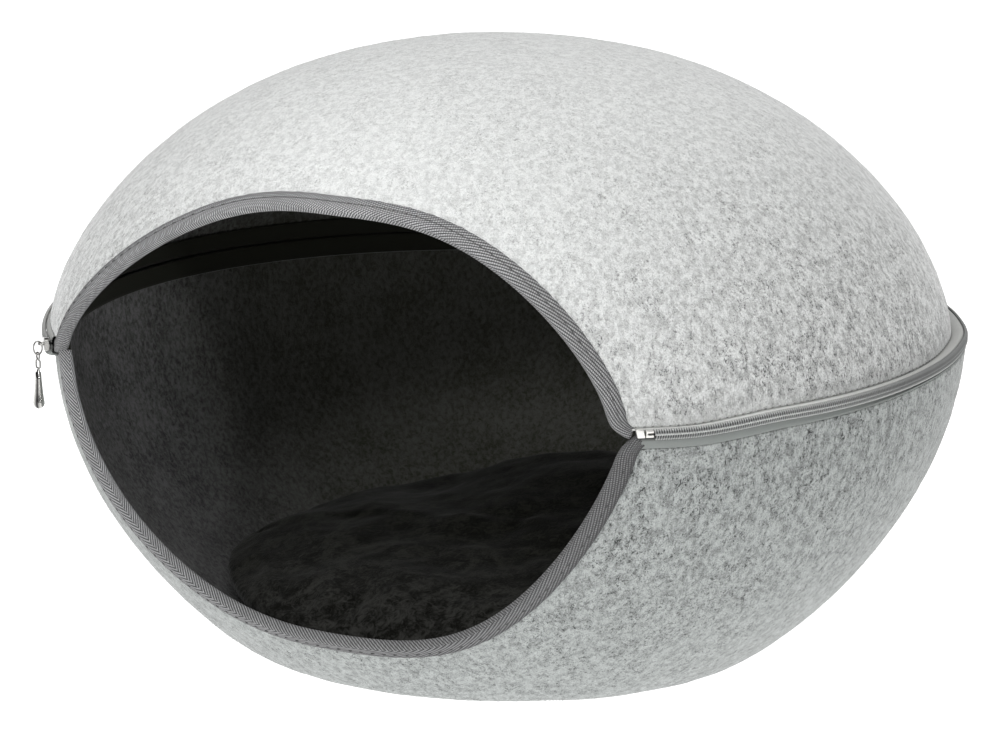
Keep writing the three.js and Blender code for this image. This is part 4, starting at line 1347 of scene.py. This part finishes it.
def slider():
    """Wedge-shaped slider body, and the bridge for the ring"""
    half = SLIDER["half"]
    lower = [(-half, -SLIDER["narrow"]), (SLIDER["shoulder"], -SLIDER["wide"]), (half, -SLIDER["nose"])]
    outline = lower + [(along, -up) for along, up in reversed(lower)]
    turn = left_turn(SLIDER["at"])
    body = plate("slider_body", outline, SLIDER["out"], turn, PULL_METAL)
    foot = METAL_SEAT + SLIDER["out"]
    reach = BRIDGE["half"] - BRIDGE["wall"] / 2
    bar = foot + BRIDGE["hole"] + BRIDGE["bar"] / 2
    bend = BRIDGE["bend"]
    side = [(-reach, 0, foot - BRIDGE["root"]), (-reach, 0, bar - bend), (-reach + bend, 0, bar)]
    arch = side + [(-along, up, out) for along, up, out in reversed(side)]
    points = wire(spline(np.array(arch), BRIDGE_ROWS), BRIDGE["wall"] / 2, BRIDGE_SIDES, False)
    faces = tube_faces(BRIDGE_ROWS, BRIDGE_SIDES)
    bridge = make_piece("slider_bridge", on_zip(points, turn), faces, PULL_METAL)
    return body, bridge


def felt_stitches(name, half):
    """Sewn line that holds the zip tape, along a half's cut edge: the stitches are real, and their dark
    colour is painted shade for the pits that they sink into
    """
    turns = zip_turns(ZIP_TAPE_ENDS, ZIP_ROWS["stitches"])
    climb = half.climb(turns, edge_up(half, turns) + FELT_STITCH["at"])
    normal = face_normal(half, turns, climb)
    return dashes(name, half.point(turns, climb), normal, FELT_STITCH, STITCH_SHADE_THREAD)


def cushion():
    """Filled fleece cushion: swollen as cloth, then wrinkled"""
    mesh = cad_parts["cushion"].data.copy()
    mesh.materials.clear()
    mesh.materials.append(FLEECE)
    piece = bpy.data.objects.new("cushion_fleece", mesh)
    bpy.context.scene.collection.objects.link(piece)
    bpy.context.view_layer.objects.active = piece
    remesh = piece.modifiers.new("even", "REMESH")
    remesh.mode = "VOXEL"
    remesh.voxel_size = CUSHION_GRID * MM
    bake(piece)
    swell(piece)
    move_points(piece, wrinkled(read_points(piece) / MM) * MM)
    smooth = piece.modifiers.new("round", "SUBSURF")
    smooth.levels = 1
    smooth.render_levels = 1
    bake(piece)
    piece.data.shade_smooth()
    return piece


def bake(piece):
    """Applies a piece's modifiers to its mesh"""
    bpy.context.view_layer.update()
    shown = piece.evaluated_get(bpy.context.evaluated_depsgraph_get())
    mesh = bpy.data.meshes.new_from_object(shown)
    piece.modifiers.clear()
    piece.data = mesh


def read_points(piece):
    points = np.zeros(len(piece.data.vertices) * 3, np.float32)
    piece.data.vertices.foreach_get("co", points)
    return points.reshape(-1, 3).astype(float)


def move_points(piece, points):
    piece.data.vertices.foreach_set("co", points.astype(np.float32).ravel())


def swell(piece):
    """Cloth under a little pressure, with the furthest move capped"""
    before = read_points(piece)
    cloth = piece.modifiers.new("cloth", "CLOTH")
    cloth.settings.use_pressure = True
    cloth.settings.uniform_pressure_force = CUSHION_PRESSURE
    cloth.settings.effector_weights.gravity = 0
    cloth.settings.tension_stiffness = CUSHION_TENSION
    cloth.settings.bending_stiffness = CUSHION_BENDING
    for frame_number in range(1, CUSHION_FRAMES + 1):
        bpy.context.scene.frame_set(frame_number)
    bake(piece)
    bpy.context.scene.frame_set(1)
    move = read_points(piece) - before
    length = np.linalg.norm(move, axis=1, keepdims=True)
    points = before + move * np.minimum(1, CUSHION_SWELL * MM / np.maximum(length, 1e-9))
    points[:, 2] = np.maximum(points[:, 2], (WALL + GAP) * MM)
    move_points(piece, points)


def wrinkled(points):
    """Soft creases that swirl round the hollow where an animal lies"""
    above = fade((points[:, 2] - CREASE["from"]) / CREASE["over"])
    x, y = (points[:, :2] - np.array(CREASE["middle"])).T
    swirl = np.arctan2(y, x) * CREASE["turn"] + np.hypot(x, y) * CREASE["out"]
    swirl = swirl + lumpy(points, [CREASE_WARP])
    crease = np.cos(swirl / CREASE["pitch"]) * (0.5 + lumpy(points, [CREASE_FADE]))
    moved = points.copy()
    moved[:, 2] += above * (CREASE["high"] * crease + lumpy(points, CUSHION_LUMPS))
    return moved


def camera():
    """The photograph's camera"""
    azimuth = np.radians(CAMERA_AZIMUTH)
    elevation = np.radians(CAMERA_ELEVATION)
    roll = np.radians(CAMERA_ROLL)
    level_reach = np.cos(elevation)
    back = Vector((np.sin(azimuth) * level_reach, -np.cos(azimuth) * level_reach, np.sin(elevation)))
    right = Vector((np.cos(azimuth), np.sin(azimuth), 0))
    up = back.cross(right)
    level = right * np.cos(roll) + up * np.sin(roll)
    upright = up * np.cos(roll) - right * np.sin(roll)
    data = bpy.data.cameras.new("photo_camera")
    data.sensor_width = SENSOR
    data.lens = FOCAL_PIXELS * SENSOR / PHOTO_WIDTH
    data.clip_end = CAMERA_REACH_M
    eye = bpy.data.objects.new("photo_camera", data)
    axes = Matrix((level, upright, back)).transposed().to_4x4()
    axes.translation = CAMERA_EYE * MM
    eye.matrix_world = axes
    bpy.context.scene.collection.objects.link(eye)
    bpy.context.scene.camera = eye


def place_lamp(name, data, place, target):
    """Sets a lamp at a place, facing a target"""
    light = bpy.data.objects.new(name, data)
    light.location = place
    light.rotation_euler = (Vector(target) - Vector(place)).to_track_quat("-Z", "Y").to_euler()
    bpy.context.scene.collection.objects.link(light)


def lamps():
    """Soft disk lamps, a wide lamp behind and two spot lamps into the mouth"""
    for name, (place, power) in LAMPS_M.items():
        data = bpy.data.lights.new(name, "AREA")
        data.shape = "DISK"
        data.size = LAMP_WIDTH_M
        data.energy = power
        place_lamp(name, data, place, BASKET_MIDDLE_M)
    data = bpy.data.lights.new("back", "AREA")
    data.shape = "RECTANGLE"
    data.size = BACK_LAMP_M["width"]
    data.size_y = BACK_LAMP_M["tall"]
    data.energy = BACK_LAMP_M["power"]
    place_lamp("back", data, BACK_LAMP_M["place"], BACK_LAMP_M["target"])
    for name, (place, target, radius, cone, power) in SPOTS_M.items():
        data = bpy.data.lights.new(name, "SPOT")
        data.shadow_soft_size = radius
        data.spot_size = np.radians(cone)
        data.spot_blend = 0.9
        data.energy = power
        place_lamp(name, data, place, target)


def floor_material():
    """White floor that glows, a little less to the right of the photograph"""
    nodes = Nodes("white_floor")
    azimuth = np.radians(CAMERA_AZIMUTH)
    rightward = {0: nodes.place(), 1: (np.cos(azimuth), np.sin(azimuth), 0)}
    rightward = nodes.add("VectorMath", rightward, operation="DOT_PRODUCT").node.outputs["Value"]
    nodes.set(
        Base_Color=grey(0.1),
        Roughness=0.9,
        Emission_Color=grey(1),
        Emission_Strength=nodes.ramp(rightward, 0.65, 1.4, 1.25, 0.97),
    )
    return nodes.material


def studio():
    """White floor, bright surroundings and lamps"""
    scene = bpy.context.scene
    scene.view_settings.view_transform = "Standard"
    world = bpy.data.worlds.new("studio")
    world.use_nodes = True
    background = world.node_tree.nodes["Background"].inputs
    background[0].default_value = grey(1)
    background[1].default_value = WORLD_GLOW
    scene.world = world
    lamps()
    corners = [(across, along, -FLOOR_DROP) for along in (-FLOOR, FLOOR) for across in (-FLOOR, FLOOR)]
    floor = make_piece("floor", corners, grid_faces(2, 2), floor_material())


camera()
studio()

dome = felt_layer("dome_felt", DOME, 0, FELT, FELT_GRID, FELT_LUMPS, DOME_FELT)
bowl = felt_layer("bowl_felt", BOWL, 0, FELT, FELT_GRID, FELT_LUMPS, BOWL_FELT)
dome_inside = felt_layer("dome_charcoal", DOME, FELT + GAP, WALL, LINING_GRID, LINING_LUMPS, CHARCOAL)
bowl_inside = felt_layer("bowl_charcoal", BOWL, FELT + GAP, WALL, LINING_GRID, LINING_LUMPS, CHARCOAL)
stand_for(dome, "pale_felt", "felt_dome")
stand_for(bowl, "pale_felt", "felt_bowl")
stand_for(dome_inside, "dark_felt", "dome_lining")
stand_for(bowl_inside, "dark_felt", "bowl_lining")

add_on(fuzz("dome_fuzz", dome, FUZZ_SEED))
add_on(fuzz("bowl_fuzz", bowl, FUZZ_SEED + 1))

upper_binding = binding("binding_tape_upper", DOME, UPPER_WEAVE)
lower_binding = binding("binding_tape_lower", BOWL, LOWER_WEAVE)
stand_for(upper_binding, "twill_tape", "binding_upper")
stand_for(lower_binding, "twill_tape", "binding_lower")
add_on(binding_stitches("binding_stitches_upper", DOME))
add_on(binding_stitches("binding_stitches_lower", BOWL))

upper_tape = zip_tape("tape_upper", DOME, UPPER_TAPE)
lower_tape = zip_tape("tape_lower", BOWL, LOWER_TAPE)
stand_for(upper_tape, "zip_tape", "zip_tape_upper")
stand_for(lower_tape, "zip_tape", "zip_tape_lower")
add_on(felt_stitches("felt_stitches", DOME))

upper_facing = facing("inner_tape_upper", DOME)
lower_facing = facing("inner_tape_lower", BOWL)
stand_for(upper_facing, "black_tape", "facing_upper")
stand_for(lower_facing, "black_tape", "facing_lower")

stand_for(zip_coil("coil_upper", DOME), "zip_coil", "zip_coil_upper")
stand_for(zip_coil("coil_lower", BOWL), "zip_coil", "zip_coil_lower")

stand_for(zip_box(), "plated_metal", "zip_box")
stand_for(zip_pin(), "plated_metal", "zip_pin")
body, bridge = slider()
stand_for(body, "plated_metal", "zip_slider")
add_on(bridge)
stand_for(pull_ring(), "plated_metal", "pull_ring")
stand_for(pull_link(), "plated_metal", "pull_link")
stand_for(pull_drop(), "plated_metal", "pull_drop")

pad = cushion()
stand_for(pad, "fleece", "cushion")
